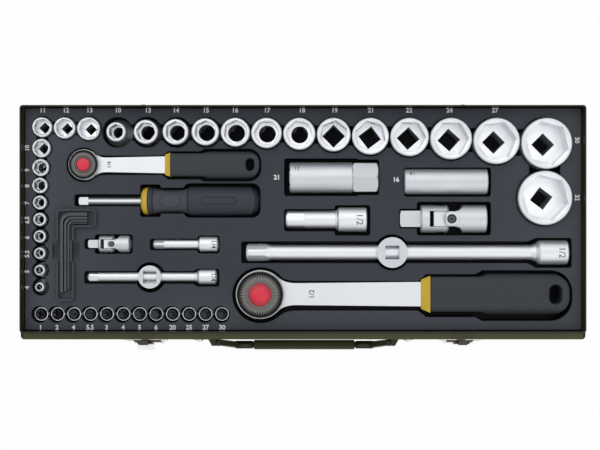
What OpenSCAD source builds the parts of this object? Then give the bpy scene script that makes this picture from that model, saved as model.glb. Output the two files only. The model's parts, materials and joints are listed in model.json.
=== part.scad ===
// A socket wrench set in a sheet-steel case, in millimetres.
// +X runs to the right along the case, +Y to its back and +Z up. The origin is on the floor, under the
// middle of the rim. The lid has been lifted off and turned over, and the base stands in it.

/* [Case] */
// Width of the case across its rim
case_w = 440; // [438:1:480]
// Depth of the case across its rim, front to back
case_d = 177; // [176:1:210]
// Height of the base
base_h = 50; // [50:1:60]
// Thickness of the steel sheet
sheet = 1; // [0.8:0.1:1.2]
// Radius of the case's upright corners
corner_r = 3; // [2:0.5:6]
// Width of the ledge along the front
ledge_w = 5.5; // [4.5:0.5:7]
// Height of the rim above the ledge
rim_h = 5; // [4:0.5:7]
// Step of the lower body outside the rim, at the sides and the back
side_step = 0.5; // [0.3:0.1:1]
// Height of the lid
lid_h = 12; // [8:1:13]
// Gap between the base and the lid that it stands in
lid_gap = 0.75; // [0.5:0.05:1]

/* [Handle] */
// Distance between the handle's two pivots
pivot_span = 139; // [120:1:150]
// Height of the pivots above the base's underside
pivot_h = 29; // [28:0.5:34]
// Distance of the pivots in front of the case
pivot_out = 3.8; // [3.6:0.1:6]
// Distance from the pivots down to the grip bar
bail_drop = 21; // [16:0.5:22]
// Diameter of the handle's pivot pins
pivot_d = 3.2; // [2.6:0.1:4]
// Radial clearance of the pivot pins and of other turning fits
turn_gap = 0.08; // [0.04:0.01:0.1]
// Length of the bail's straight bar
bail_bar_l = 116; // [100:1:118]
// Thickness of the bail's strap
bail_t = 4.6; // [3.6:0.2:5]
// Length of the grip
grip_l = 82; // [60:1:90]
// Lean of the hanging handle, away from the case
bail_lean = 12; // [10:1:20]
// Thickness of the grip, measured away from the case
grip_t = 7.4; // [6.6:0.2:8]
// Height of the grip
grip_h = 10; // [8:0.5:12]

/* [Latches] */
// Distance of each latch from the middle of the case
latch_x = 125; // [100:1:150]
// Width of a latch's plate
latch_plate_w = 34.5; // [32:0.5:40]
// Height of a latch's plate
latch_plate_h = 24; // [22:0.5:25]
// Thickness of a latch's plate
latch_plate_t = 1.2; // [1:0.1:1.5]
// Height of the plate's lower edge above the base's underside
latch_z = 14; // [13:0.5:15]
// Width of the lever
lever_w = 20; // [18:0.5:22]
// Bulge of the lever's face in front of the case
lever_bulge = 4.9; // [4.4:0.1:5.5]
// Thickness of the lever
lever_t = 1.2; // [1:0.1:1.4]
// Width of the lever's thumb tongue
tongue_w = 13.4; // [10:0.2:15]
// Reach of the thumb tongue in front of the case
tongue_out = 9.4; // [8:0.2:11]
// Diameter of the latch's hinge pin
latch_pin_d = 2.4; // [2:0.1:2.8]
// Diameter of a rivet's head
rivet_d = 6.5; // [5:0.1:7]
// Height of a rivet's head
rivet_h = 2.4; // [1.6:0.1:2.8]
// Diameter of a rivet's shank
rivet_shank_d = 3; // [2.6:0.1:3.2]

/* [Tray] */
// Depth of the tray's face below the rim
tray_drop = 10; // [9.5:0.5:12]
// Wall of the moulded tray
tray_wall = 1.6; // [1.2:0.1:1.8]
// Gap between the tray and the case
tray_gap = 0.5; // [0.3:0.1:0.8]
// Gap under each stowed tool
seat_gap = 0.3; // [0.2:0.05:0.5]
// Gap around a half-inch socket in its pocket
half_pocket_gap = 1.1; // [0.7:0.1:1.3]
// Gap around a quarter-inch socket in its pocket
quarter_pocket_gap = 0.85; // [0.6:0.05:1]
// Width of a finger channel as a share of the sockets that it joins
channel_share = 0.58; // [0.4:0.02:0.7]
// Depth of the finger channels
channel_depth = 19; // [8:1:20]

/* [Half-inch sockets] */
// Side of the half-inch square drive
half_square = 12.7; // [12.5:0.1:13]
// Gap between neighbouring sockets in the row
half_gap = 1.2; // [1:0.05:1.5]
// Least diameter of a socket's body
half_min_od = 22; // [21.5:0.1:22.5]
// Length of a socket up to size 24
half_l = 38; // [34:0.5:40]
// Length of a socket above size 24
half_big_l = 42; // [38:0.5:42.5]
// Height of the sockets above the tray's face
half_rise = 6.5; // [4:0.5:8]
// Distance of the first socket from the case's left side
half_row_x = 74; // [74:0.1:74.5]
// Distance of the sockets' backs from the case's back
half_back_y = 9.3; // [8.5:0.1:10.5]
// Gap between the last two sockets
half_last_gap = 1.6; // [1.2:0.1:2]
// Depth of the hexagon in the small sockets
half_hex_depth = 12; // [9:0.5:15]
// Depth of the hexagon in the large sockets
half_big_hex_depth = 17; // [14:0.5:20]

/* [Quarter-inch sockets] */
// Side of the quarter-inch square drive
quarter_square = 6.35; // [6.2:0.05:6.5]
// Gap between neighbouring sockets
quarter_gap = 1.25; // [1:0.05:1.4]
// Least diameter of a socket's body
quarter_min_od = 12; // [11.6:0.1:12.2]
// Length of a socket
quarter_l = 25; // [20:0.5:28]
// Height of the sockets above the tray's face
quarter_rise = 3.5; // [2:0.5:6]
// Distance of the column's left sides from the case's left side
quarter_left_x = 7.5; // [7:0.1:8]
// Distance of the row's backs from the case's back
quarter_back_y = 8.5; // [7.5:0.1:9.5]
// Depth of the hexagons
quarter_hex_depth = 10; // [7:0.5:12]

/* [Bit sockets] */
// Distance from one bit socket to the next
bit_pitch = 13; // [12.6:0.1:13.2]
// Distance of the first bit socket from the case's left side
bit_x = 12.6; // [12:0.1:13]
// Distance of the row from the case's front
bit_y = 13.5; // [12.5:0.1:14]
// Diameter of a bit socket's body
bit_od = 12; // [11:0.1:12.2]
// Diameter of its nose
bit_nose = 10.8; // [10:0.1:11]
// Length of its body
bit_l = 22; // [18:0.5:26]
// Depth of its nose below the tray's face
bit_sink = 6; // [3:0.5:8]
// Reach of the bit above the nose
bit_reach = 10; // [7:0.5:11]
// Width of the bit's hexagon across its flats
bit_hex = 6.3; // [6.2:0.05:6.4]

/* [Half-inch ratchet] */
// Distance of the head from the case's right side
half_ratchet_x = 253.5; // [253:0.1:254]
// Distance of the head from the case's front
half_ratchet_y = 29.5; // [29:0.1:30]
// Diameter of the head
half_head_d = 38; // [37:0.2:39]
// Diameter of the push button
half_button_d = 18; // [16:0.2:19]
// Distance from the head to the collar
half_neck_l = 126; // [120:0.5:128]
// Length of the grip
half_grip_l = 109; // [100:0.5:110]
// Width of the grip
half_grip_w = 32; // [30:0.2:33]
// Travel of the push button
half_press = 2.5; // [2:0.1:3]

/* [Quarter-inch ratchet] */
// Distance of the head from the case's left side
quarter_ratchet_x = 48.5; // [48:0.1:49]
// Distance of the head from the case's back
quarter_ratchet_y = 45.9; // [45.5:0.1:46.4]
// Diameter of the head
quarter_head_d = 23.8; // [23:0.2:24.4]
// Diameter of the push button
quarter_button_d = 11.2; // [10:0.2:12]
// Distance from the head to the collar
quarter_neck_l = 63; // [60:0.5:64]
// Length of the grip
quarter_grip_l = 69.6; // [66:0.1:70]
// Width of the grip
quarter_grip_w = 20.8; // [20:0.2:22]
// Travel of the push button
quarter_press = 1.8; // [1.4:0.1:2]

/* [Driver] */
// Distance of the driver's line from the case's back
driver_y = 74.2; // [73.9:0.1:74.5]
// Distance of its square tip from the case's left side
driver_x = 42.5; // [42:0.1:43]
// Length of the blade in front of the collar
driver_blade_l = 50; // [47:0.1:51]
// Diameter of the blade
driver_blade_d = 6.1; // [5:0.1:6.3]
// Diameter of the handle
driver_d = 23.6; // [22:0.2:24]
// Length of the handle behind the collar
driver_handle_l = 88; // [80:0.5:89]

/* [Long tools] */
// Distance of the long half-inch extension from the case's front
long_y = 62.3; // [61.9:0.1:62.5]
// Distance of its square tip from the case's right side
long_x = 264.8; // [264:0.1:265]
// Length of the long half-inch extension
long_l = 253; // [245:0.5:254]
// Distance of the short half-inch extension from the case's front
short_y = 88.3; // [88:0.1:88.6]
// Distance of its square tip from the case's right side
short_x = 233.6; // [233:0.1:234]
// Length of the short half-inch extension
short_l = 63.5; // [60:0.5:64]
// Diameter of the long half-inch extension's shaft
half_shaft_d = 11.8; // [11:0.2:12.6]
// Diameter of the short half-inch extension's shaft
short_shaft_d = 14.1; // [13:0.1:14.2]
// Diameter of their socket ends
half_end_d = 19.4; // [19:0.2:20.4]
// Distance of the longer quarter-inch extension from the case's front
quarter_long_y = 43.1; // [42.9:0.1:43.2]
// Distance of its square tip from the case's left side
quarter_long_x = 50.5; // [50:0.1:51]
// Length of the longer quarter-inch extension
quarter_long_l = 101; // [96:0.5:101.5]
// Distance of the shorter quarter-inch extension from the case's front
quarter_short_y = 68.8; // [68.5:0.1:69.1]
// Distance of its square tip from the case's left side
quarter_short_x = 102; // [101.6:0.1:102.4]
// Length of the shorter quarter-inch extension
quarter_short_l = 50.8; // [48:0.2:51]
// Diameter of the quarter-inch extensions' shafts
quarter_shaft_d = 7.2; // [6.6:0.1:7.6]
// Diameter of their socket ends
quarter_end_d = 11.9; // [11.2:0.1:12.2]
// Place of the sliding head along the long extension, from its square tip
half_slider_x = 114.6; // [112:0.1:116]
// Diameter of the half-inch sliding head
half_slider_d = 24; // [22:0.2:24.4]
// Place of the sliding head along the quarter-inch extension, from its square tip
quarter_slider_x = 49.2; // [47:0.1:50]
// Diameter of the quarter-inch sliding head
quarter_slider_d = 18; // [17:0.2:19]
// Travel of a sliding head each way while it lies in its pocket
slider_travel = 1.5; // [1:0.1:2]

/* [Universal joints] */
// Distance of the half-inch joint from the case's front
half_joint_y = 88.7; // [88.5:0.1:88.9]
// Distance of its square tip from the case's right side
half_joint_x = 144; // [143.8:0.1:144.2]
// Diameter of the half-inch joint
half_joint_d = 22; // [21:0.2:22.4]
// Distance of the quarter-inch joint from the case's front
quarter_joint_y = 69; // [68.7:0.1:69.3]
// Distance of its square tip from the case's left side
quarter_joint_x = 50.9; // [50.6:0.1:51.2]
// Diameter of the quarter-inch joint
quarter_joint_d = 13.4; // [12.8:0.1:13.6]

/* [Spark plug sockets] */
// Distance of the large spark plug socket from the case's back
plug_y = 55.7; // [55.3:0.1:56.1]
// Distance of its open end from the case's right side
plug_x = 230.8; // [230.4:0.1:231.4]
// Length of its round body
plug_l = 50; // [46:0.5:50.5]
// Diameter of its round body
plug_d = 24.4; // [24:0.1:25]
// Length of its hexagonal end
plug_hex_l = 19.5; // [17:0.5:20]
// Width of its hexagonal end across the flats
plug_hex = 22.4; // [22:0.1:23]
// Distance of the slim spark plug socket from the case's back
slim_plug_y = 58.9; // [58.5:0.1:59.3]
// Distance of its drive end from the case's right side
slim_plug_x = 140.6; // [140.4:0.1:141]
// Length of the slim spark plug socket
slim_plug_l = 65.5; // [62:0.5:66]
// Diameter of the slim spark plug socket
slim_plug_d = 20.6; // [20:0.1:21.6]

/* [Hexagon keys] */
// Widths of the keys across the flats, the outermost key first
key_sizes = [3, 2.5, 2, 1.5]; // [1:0.5:3]
// Distance of the outermost key's long leg from the case's left side
key_x = 30.4; // [30:0.1:30.8]
// Distance of its short leg from the case's front
key_y = 92.2; // [91.9:0.1:92.5]
// Length of its long leg
key_long = 61; // [56:0.5:62]
// Length of its short leg
key_short = 20.6; // [18:0.2:21]
// Gap between two keys
key_gap = 0.15; // [0.12:0.01:0.2]
// Height of the rib around the keys
rib_h = 3.2; // [2:0.2:5]
// Thickness of that rib
rib_t = 1.8; // [1.4:0.1:2]

/* [Hidden] */
$fn = 64;
half_sizes = [10, 13, 14, 15, 16, 17, 18, 19, 21, 22, 24, 27, 30, 32];
half_names = [for (s = half_sizes) str("half_socket_", s)];

// Heights above the floor
base_z = sheet;
ledge_z = base_z + base_h - rim_h;
rim_z = base_z + base_h;
tray_z = rim_z - tray_drop;
tray_foot_z = base_z + sheet;

// The sides of the rim, which the tools' places are measured from
left = -case_w / 2;
right = case_w / 2;
front = -case_d / 2;
back = case_d / 2;

// The lower body of the case, which is deeper than the rim by the front ledge
front_y = front - ledge_w;
body_w = case_w + 2 * side_step;
body_d = case_d + ledge_w + side_step;
body_y = (side_step - ledge_w) / 2;
tray_w = case_w - 2 * (sheet + tray_gap);
tray_d = case_d - 2 * (sheet + tray_gap);

// How far the hexagon of each half-inch socket is turned, and its square
half_turns = [30, 51, 28, 25, 25, 0, 45, 22, 43, -2, 0, 7, -15, -14];
square_turns = [45, 45, 45, 45, 45, 45, 45, 45, 37, 42, 48, 45, 45, 53];
half_round_up_to = 18;
half_round_d = 13.4;
half_last = len(half_sizes) - 1;

function half_nose(i) = 1.24 * half_sizes[i] + 2.7;
function half_od(i) = max(half_min_od, half_nose(i));
function half_len(i) = half_sizes[i] > 24 ? half_big_l : half_l;
function half_step(i) = (half_od(i - 1) + half_od(i)) / 2 + half_gap;
function half_x(i) =
    i == 0 ? left + half_row_x
    : i < half_last ? half_x(i - 1) + half_step(i)
    : half_x(i - 1) + (half_od(i - 1) - half_od(i)) / 2;
function half_y(i) =
    i < half_last ? back - half_back_y - half_od(i) / 2
    : half_y(i - 1) - (half_od(i - 1) + half_od(i)) / 2 - half_last_gap;

// Quarter-inch sockets: a column down the left side, and a row to the right of its first socket
column_sizes = [11, 10, 9, 8, 7, 6.5, 6, 5.5, 5, 4];
row_sizes = [11, 12, 13];
column_turns = [8, 0, 20, 30, 12, 25, 38, 0, 30, 0];
row_turns = [8, 40, 15];
quarter_square_from = 10;

function quarter_nose(s) = 1.2 * s + 2.6;
function quarter_od(s) = max(quarter_min_od, quarter_nose(s));
function column_y(i) =
    i == 0 ? back - quarter_back_y - quarter_od(column_sizes[0]) / 2
    : column_y(i - 1) - (quarter_od(column_sizes[i - 1]) + quarter_od(column_sizes[i])) / 2 - quarter_gap;
function column_x(i) = left + quarter_left_x + quarter_od(column_sizes[i]) / 2;
function row_x(i) =
    i == 0 ? column_x(0)
    : row_x(i - 1) + (quarter_od(row_sizes[i - 1]) + quarter_od(row_sizes[i])) / 2 + quarter_gap;
function row_y(i) = back - quarter_back_y - quarter_od(row_sizes[i]) / 2;

// Bits: crosses, slots, hexagons and six-point stars, each with its width
bit_kinds = ["cross", "cross", "slot", "slot", "hex", "hex", "hex", "hex", "star", "star", "star", "star"];
bit_widths = [4.5, 6, 4, 5.5, 3, 4, 5, 6, 3.9, 4.5, 5, 5.5];

// Places of the lying tools, the bits and the keys
half_ratchet_spot = [right - half_ratchet_x, front + half_ratchet_y];
quarter_ratchet_spot = [left + quarter_ratchet_x, back - quarter_ratchet_y];
driver_spot = [left + driver_x, back - driver_y];
long_spot = [right - long_x, front + long_y];
short_spot = [right - short_x, front + short_y];
quarter_long_spot = [left + quarter_long_x, front + quarter_long_y];
quarter_short_spot = [left + quarter_short_x, front + quarter_short_y];
half_joint_spot = [right - half_joint_x, front + half_joint_y];
quarter_joint_spot = [left + quarter_joint_x, front + quarter_joint_y];
plug_spot = [right - plug_x, back - plug_y];
slim_plug_spot = [right - slim_plug_x, back - slim_plug_y];
key_spot = [left + key_x, front + key_y];
bit_spot = [left + bit_x, front + bit_y];

// Lines that the lying tools keep above the floor
half_axis_z = tray_z - 5;
quarter_axis_z = tray_z - 3;
driver_axis_z = tray_z + 4.6 - driver_d / 2;
plug_axis_z = tray_z - 6;

// Ratchets, as heights over the tray's face: top of the head, its underside, the shank, the drive's end
half_top = 5;
half_under = -15;
half_shank = [-10.5, 0];
half_drive_end = -31;
quarter_top = 4;
quarter_under = -8;
quarter_shank = [-6.5, 0.5];
quarter_drive_end = -17;
half_shank_w = [17.2, 19.2];
quarter_shank_w = [11.4, 13.2];
half_collar_l = 7;
quarter_collar_l = 4.4;
half_grip_z = [-17, 5];
quarter_grip_z = [-11, 4.4];
head_wall = 2.2;
tang_l = 45;
tang_gap = 0.1;

// Universal joints, as distances from the square tip
// drive length, start of the ears, tip of the ears, first pin, second pin, start of the socket end, length
half_joint_at = [16.2, 23, 38.3, 32.4, 40.1, 49.5, 68];
quarter_joint_at = [8.5, 10.4, 20.6, 15.95, 19.3, 25.1, 32.8];

// Hexagon keys
key_bends = [7, 5.6, 4.6, 4];
function key_offset(i) = i == 0 ? 0 : key_offset(i - 1) + (key_sizes[i - 1] + key_sizes[i]) / 2 + key_gap;
key_reach = key_offset(3) + key_sizes[3] / 2;
key_room = 0.4;
key_corner = 1.4;
scoop_w = 16.5;
scoop_depth = 2.5;

// Tips and ends of the lying tools
half_tip_r = 7.05;
quarter_tip_r = 3.75;
half_slider_z = [-9.5, 8.5];
half_slider_square_l = 15;
quarter_slider_z = [-6.6, 5.6];
quarter_slider_square_l = 8;
driver_tip_r = 4.4;
driver_collar_l = 5.1;
driver_collar_r = 11.4;
driver_waist = 2.3;
driver_tang_l = 34;
grip_narrow = 0.86;

// ---- shared outlines

module rounded(w, d, r) {
    square([w - 2 * r, d], center = true);
    square([w, d - 2 * r], center = true);
    for (x = [-1, 1], y = [-1, 1])
        translate([x * (w / 2 - r), y * (d / 2 - r)]) circle(r);
}

module box_from(low, high) {
    translate(low) cube(high - low);
}

// A bar along +X whose section is drawn in Y and Z
module along_x(l) {
    rotate([90, 0, 90]) linear_extrude(l) children();
}

// A flat shape with the same points on both sides of the X axis
module both_sides(points) {
    polygon(concat(points, [for (i = [len(points) - 1:-1:0]) [points[i][0], -points[i][1]]]));
}

// The hollow curve from a round head into its shank, and the same for a joint's ear and its body
function curve(start, bend, end) =
    [for (t = [0:0.125:1]) pow(1 - t, 2) * start + 2 * t * (1 - t) * bend + t * t * end];
function neck_curve(head_r, half_w, reach) =
    let (s = head_r * cos(45)) curve([s, s], [2 * s - half_w, half_w], [reach, half_w]);

// A body turned about the X axis, whose outline is drawn as [x, radius]
module turned_x(points) {
    rotate([0, 90, 0]) rotate([0, 0, 90]) rotate_extrude() polygon([for (p = points) [p[1], p[0]]]);
}

module hexagon(flats) {
    circle(d = flats / cos(30), $fn = 6);
}

// ---- case

// The pips' height over the floor, and the same level on the lid once it is closed
pip_z = ledge_z - 2.2;
lid_catch_z = rim_z + sheet - pip_z;

module lid_shell() {
    color("darkolivegreen")
    translate([0, body_y, 0])
    difference() {
        linear_extrude(lid_h) rounded(body_w + 2 * (lid_gap + sheet), body_d + 2 * (lid_gap + sheet),
                                      corner_r + lid_gap + sheet);
        translate([0, 0, sheet])
            linear_extrude(lid_h) rounded(body_w + 2 * lid_gap, body_d + 2 * lid_gap, corner_r + lid_gap);
        // Windows that snap over the base's rear pips, and slots in front for the levers' claws
        for (x = [-latch_x, latch_x], side = [-1, 1])
            translate([x, side * (body_d / 2 + lid_gap + sheet), lid_catch_z])
                cube([10, 4, 4], center = true);
    }
}

module base_shell() {
    color("darkolivegreen")
    difference() {
        union() {
            translate([0, body_y, base_z])
                linear_extrude(ledge_z - base_z) rounded(body_w, body_d, corner_r);
            translate([0, 0, ledge_z - sheet])
                linear_extrude(rim_h + sheet) rounded(case_w, case_d, corner_r - side_step);
            // Pips on the back that hold the lid
            for (x = [-latch_x, latch_x])
                translate([x, case_d / 2 + side_step - 0.4, pip_z])
                    rotate([-90, 0, 0]) cylinder(h = 0.9, r1 = 2, r2 = 1.5);
        }
        translate([0, body_y, base_z + sheet])
            linear_extrude(ledge_z - base_z - 2 * sheet)
                rounded(body_w - 2 * sheet, body_d - 2 * sheet, corner_r - sheet);
        translate([0, 0, ledge_z - 2 * sheet])
            linear_extrude(rim_h + 3 * sheet)
                rounded(case_w - 2 * sheet, case_d - 2 * sheet, corner_r - side_step - sheet / 2);
        rivet_holes();
    }
}

// ---- handle

bail_y = front_y - pivot_out;
bail_z = base_z + pivot_h;
lug_gap = 0.25;
lug_t = 3;
foot_l = 18;
foot_t = 1.2;
lug_reach = 2.6;
boss_l = 2.6;
boss_d = 6.4;
bail_w = 5;

// An eye at each end, riveted to the case
module handle_brackets() {
    color("darkolivegreen")
    for (side = [0, 1]) mirror([side, 0, 0])
        difference() {
            union() {
                box_from([-pivot_span / 2 - foot_l, front_y - foot_t, bail_z - 6],
                         [-pivot_span / 2, front_y, bail_z + 6]);
                translate([0, 0, bail_z - 4.5]) linear_extrude(9) polygon([
                    [-pivot_span / 2 - lug_t - 3.2, front_y - foot_t / 2],
                    [-pivot_span / 2, front_y - foot_t / 2], [-pivot_span / 2, bail_y - lug_reach],
                    [-pivot_span / 2 - lug_t, bail_y - lug_reach]]);
            }
            translate([-pivot_span / 2 - 3 * lug_t, bail_y, bail_z])
                rotate([0, 90, 0]) cylinder(h = 4 * lug_t, d = pivot_d + 2 * turn_gap);
            rivet_holes();
        }
}

module bail_place() {
    translate([0, bail_y, bail_z]) rotate([-bail_lean, 0, 0]) children();
}

// The steel strap of the handle, with its two pins
module handle_bail() {
    arm_x = pivot_span / 2 - lug_gap;
    bar_x = bail_bar_l / 2;
    half_bar = bail_w / 2;
    color("olive") bail_place()
    union() {
        for (side = [0, 1]) mirror([side, 0, 0]) {
            translate([-arm_x, 0, 0]) rotate([0, 90, 0]) cylinder(h = boss_l, d = boss_d);
            translate([-arm_x - lug_gap - lug_t + 0.5, 0, 0])
                rotate([0, 90, 0]) cylinder(h = lug_t + lug_gap, d = pivot_d);
            translate([0, bail_t / 2, 0]) rotate([90, 0, 0]) linear_extrude(bail_t) polygon([
                [-arm_x, 2], [-arm_x, -3], [-bar_x, -bail_drop - half_bar],
                [-bar_x + bail_w, -bail_drop - half_bar], [-bar_x + bail_w, half_bar - bail_drop],
                [-arm_x + boss_l, -2], [-arm_x + boss_l, 2]]);
        }
        box_from([-bar_x + 4, -bail_t / 2, -bail_drop - half_bar],
                 [bar_x - 4, bail_t / 2, half_bar - bail_drop]);
    }
}

// The moulded grip around the bar
module handle_grip() {
    color("olivedrab") bail_place()
    translate([-grip_l / 2, 0, -bail_drop])
    difference() {
        along_x(grip_l) rounded(grip_t, grip_h, 2.4);
        translate([-1, 0, 0]) along_x(grip_l + 2) square([bail_t + 0.1, bail_w + 0.1], center = true);
    }
}

// ---- latches

latch_plate_z = base_z + latch_z;
lever_pin_y = front_y - latch_plate_t - 2.6;
lever_pin_z = latch_plate_z + 3;
ear_t = 1.4;
lever_sag = lever_bulge - 1.5;
lever_r = (pow(lever_w / 2, 2) + pow(lever_sag, 2)) / (2 * lever_sag);
latch_rivet_x = latch_plate_w / 2 - 3.6;
latch_rivet_z = latch_plate_z + 12;
foot_rivet_x = pivot_span / 2 + foot_l - 4.5;

module each_latch() {
    for (x = [-latch_x, latch_x]) translate([x, 0, 0]) children();
}

module latch_plates() {
    color("silver") each_latch() {
        difference() {
            union() {
                box_from([-latch_plate_w / 2, front_y - latch_plate_t, latch_plate_z],
                         [latch_plate_w / 2, front_y, latch_plate_z + latch_plate_h]);
                for (side = [-1, 1])
                    translate([side * (lever_w / 2 + 0.4 + ear_t / 2) - ear_t / 2, 0, 0])
                        box_from([0, lever_pin_y - 2.2, lever_pin_z - 2.4],
                                 [ear_t, front_y - latch_plate_t / 2, lever_pin_z + 2.4]);
            }
            translate([-latch_x, 0, 0]) rivet_holes();
        }
        // The hinge pin, fast in the two ears
        translate([-lever_w / 2 - 0.4 - ear_t, lever_pin_y, lever_pin_z])
            rotate([0, 90, 0]) cylinder(h = lever_w + 0.8 + 2 * ear_t, d = latch_pin_d);
    }
}

// A flat spring behind each lever, which presses it shut
module latch_springs() {
    color("silver") each_latch()
        box_from([-4, front_y - latch_plate_t - 0.5, lever_pin_z + 3.2],
                 [4, front_y - latch_plate_t, lever_pin_z + 15]);
}

// The lever: a bulged face, a thumb tongue and a claw on top, and an eye around the hinge pin
module latch_lever() {
    top_z = latch_plate_z + latch_plate_h - 2;
    color("gainsboro")
    difference() {
        union() {
            // The bulged face
            translate([0, front_y - lever_bulge + lever_r, lever_pin_z + 1])
                difference() {
                    cylinder(h = top_z - lever_pin_z - 1, r = lever_r, $fn = 96);
                    translate([0, 0, -1]) cylinder(h = 40, r = lever_r - lever_t, $fn = 96);
                    box_from([-2 * lever_r, -lever_r + lever_bulge - 1.6, -1],
                             [2 * lever_r, 2 * lever_r, 40]);
                }
            // The tongue
            box_from([-tongue_w / 2, front_y - tongue_out, top_z - 4.2],
                     [tongue_w / 2, front_y - lever_bulge + 0.5, top_z - 3]);
            // The claw, which reaches into the closed lid's slot
            box_from([-3.5, front_y - lever_bulge + 0.3, top_z - 3],
                     [3.5, front_y - lever_bulge + 1.5, pip_z + 1.2]);
            box_from([-3.5, front_y - lever_bulge + 0.3, pip_z], [3.5, front_y - 0.9, pip_z + 1.2]);
            // The eye
            translate([-lever_w / 2, lever_pin_y, lever_pin_z])
                rotate([0, 90, 0]) cylinder(h = lever_w, d = latch_pin_d + 1.8);
        }
        translate([-lever_w, lever_pin_y, lever_pin_z])
            rotate([0, 90, 0]) cylinder(h = 2 * lever_w, d = latch_pin_d + 2 * turn_gap);
    }
}

module latch_lever_left() {
    translate([-latch_x, 0, 0]) latch_lever();
}

module latch_lever_right() {
    translate([latch_x, 0, 0]) latch_lever();
}

// Domed rivets of the latches and of the handle's eyes
module rivet(t) {
    rotate([90, 0, 0]) {
        translate([0, 0, -sheet - 1]) cylinder(h = 1, d = 1.6 * rivet_shank_d);
        translate([0, 0, -sheet]) cylinder(h = sheet + t, d = rivet_shank_d);
        intersection() {
            translate([0, 0, t]) cylinder(h = rivet_h, d = rivet_d);
            translate([0, 0, t + rivet_h - rivet_d / 1.4]) sphere(r = rivet_d / 1.4);
        }
    }
}

module rivet_holes() {
    for (x = [-foot_rivet_x, foot_rivet_x]) rivet_hole(x, bail_z);
    for (x = [-latch_x, latch_x], side = [-1, 1]) rivet_hole(x + side * latch_rivet_x, latch_rivet_z);
}

module rivet_hole(x, z) {
    translate([x, front_y + 2 * sheet, z])
        rotate([90, 0, 0]) cylinder(h = 3 * sheet + foot_t + 1, d = rivet_shank_d + 0.1);
}

module case_rivets() {
    color("silver") {
        each_latch() for (side = [-1, 1])
            translate([side * latch_rivet_x, front_y, latch_rivet_z]) rivet(latch_plate_t);
        for (x = [-foot_rivet_x, foot_rivet_x])
            translate([x, front_y, bail_z]) rivet(foot_t);
    }
}

// ---- tray

// Rooms for the tools: g grows them by the tray's wall, for the material around them. A well is round, a
// room has straight sides, a slant is the step between two of them and a flare opens towards a round head.
module dig(floor_z, g) {
    translate([0, 0, floor_z - g]) linear_extrude(tray_z - floor_z + (g > 0 ? g : 1)) children();
}

module well(at, d, floor_z, g) {
    dig(floor_z, g) translate(at) circle(d = d + 2 * g);
}

module room(x, y, floor_z, g, r = 2) {
    dig(floor_z, g)
        translate([x[0] + x[1], y[0] + y[1]] / 2) rounded(x[1] - x[0] + 2 * g, y[1] - y[0] + 2 * g, r + g);
}

module slant(x, start, end, floor_z, g) {
    shift = end[1] > start[1] ? -g : g;
    dig(floor_z, g) polygon([
        [x[0] + shift, start[0] - g], [x[1] + shift, end[0] - g], [x[1] + shift, end[1] + g],
        [x[0] + shift, start[1] + g]]);
}

module flare(at, head_r, half_w, floor_z, g) {
    dig(floor_z, g) translate(at) both_sides(neck_curve(head_r + g, half_w + g, 1.32 * head_r + g));
}

// Where a room begins and ends along its tool, and its front and back edges with their gaps to the tool
function along(spot, from, to) = [spot[0] + from, spot[0] + to];
function edges(spot, half_w, gaps) = [spot[1] - half_w - gaps[0], spot[1] + half_w + gaps[1]];

// A finger channel between two sockets of a row, and between two of a column
module channel(from, to, w, g) {
    mid = (from[1] + to[1]) / 2;
    room([from[0] - 1, to[0] + 1], [mid - w / 2, mid + w / 2], tray_z - channel_depth, g);
}

module column_channel(from, to, w, g) {
    mid = (from[0] + to[0]) / 2;
    room([mid - w / 2, mid + w / 2], [to[1] - 1, from[1] + 1], tray_z - channel_depth, g);
}

module half_socket_rooms(g) {
    for (i = [0:half_last])
        well([half_x(i), half_y(i)], half_od(i) + 2 * half_pocket_gap,
             tray_z + half_rise - half_len(i) - seat_gap, g);
    for (i = [1:half_last - 1])
        channel([half_x(i - 1), half_y(i - 1)], [half_x(i), half_y(i)], channel_share * half_od(i - 1), g);
    column_channel([half_x(half_last - 1), half_y(half_last - 1)], [half_x(half_last), half_y(half_last)],
                   channel_share * half_od(half_last), g);
}

module quarter_socket_rooms(g) {
    floor_z = tray_z + quarter_rise - quarter_l - seat_gap;
    for (i = [0:len(column_sizes) - 1])
        well([column_x(i), column_y(i)], quarter_od(column_sizes[i]) + 2 * quarter_pocket_gap, floor_z, g);
    for (i = [1:2])
        well([row_x(i), row_y(i)], quarter_od(row_sizes[i]) + 2 * quarter_pocket_gap, floor_z, g);
    for (i = [1:len(column_sizes) - 1])
        column_channel([column_x(i - 1), column_y(i - 1)], [column_x(i), column_y(i)],
                       channel_share * quarter_od(column_sizes[i - 1]), g);
    for (i = [1:2])
        channel([row_x(i - 1), row_y(i - 1)], [row_x(i), row_y(i)],
                channel_share * quarter_od(row_sizes[i]), g);
    for (i = [0:11])
        well(bit_spot + [i * bit_pitch, 0], bit_od + 1.4, tray_z - bit_sink - bit_l - seat_gap, g);
}

// Rooms of the lying tools: each has its own floor under its own thickness
module half_extension_rooms(g) {
    end_z = half_axis_z - half_end_d / 2 - seat_gap;
    tip_z = half_axis_z - half_tip_r - seat_gap;
    shaft = edges(long_spot, half_shaft_d / 2, [2.6, 2.8]);
    end = edges(long_spot, half_end_d / 2, [2.5, 1.7]);
    step = along(long_spot, long_l - 32.2, long_l - 25);
    room(along(long_spot, -4, 22), shaft, tip_z, g);
    room(along(long_spot, 18, long_l - 30), shaft, half_axis_z - half_shaft_d / 2 - seat_gap, g);
    slant(step, shaft, end, end_z, g);
    room([step[1] - 2, long_spot[0] + long_l + 2.8], end, end_z, g);
    well(long_spot + [half_slider_x, 0], half_slider_d + 4.3,
         half_axis_z + half_slider_z[0] - half_slider_square_l - seat_gap, g);
    room(along(short_spot, -1.5, 40), edges(short_spot, short_shaft_d / 2, [2.4, 1]), tip_z, g);
    room(along(short_spot, 38.2, short_l + 2.7), edges(short_spot, half_end_d / 2, [3.1, 1.4]), end_z, g);
}

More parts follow.
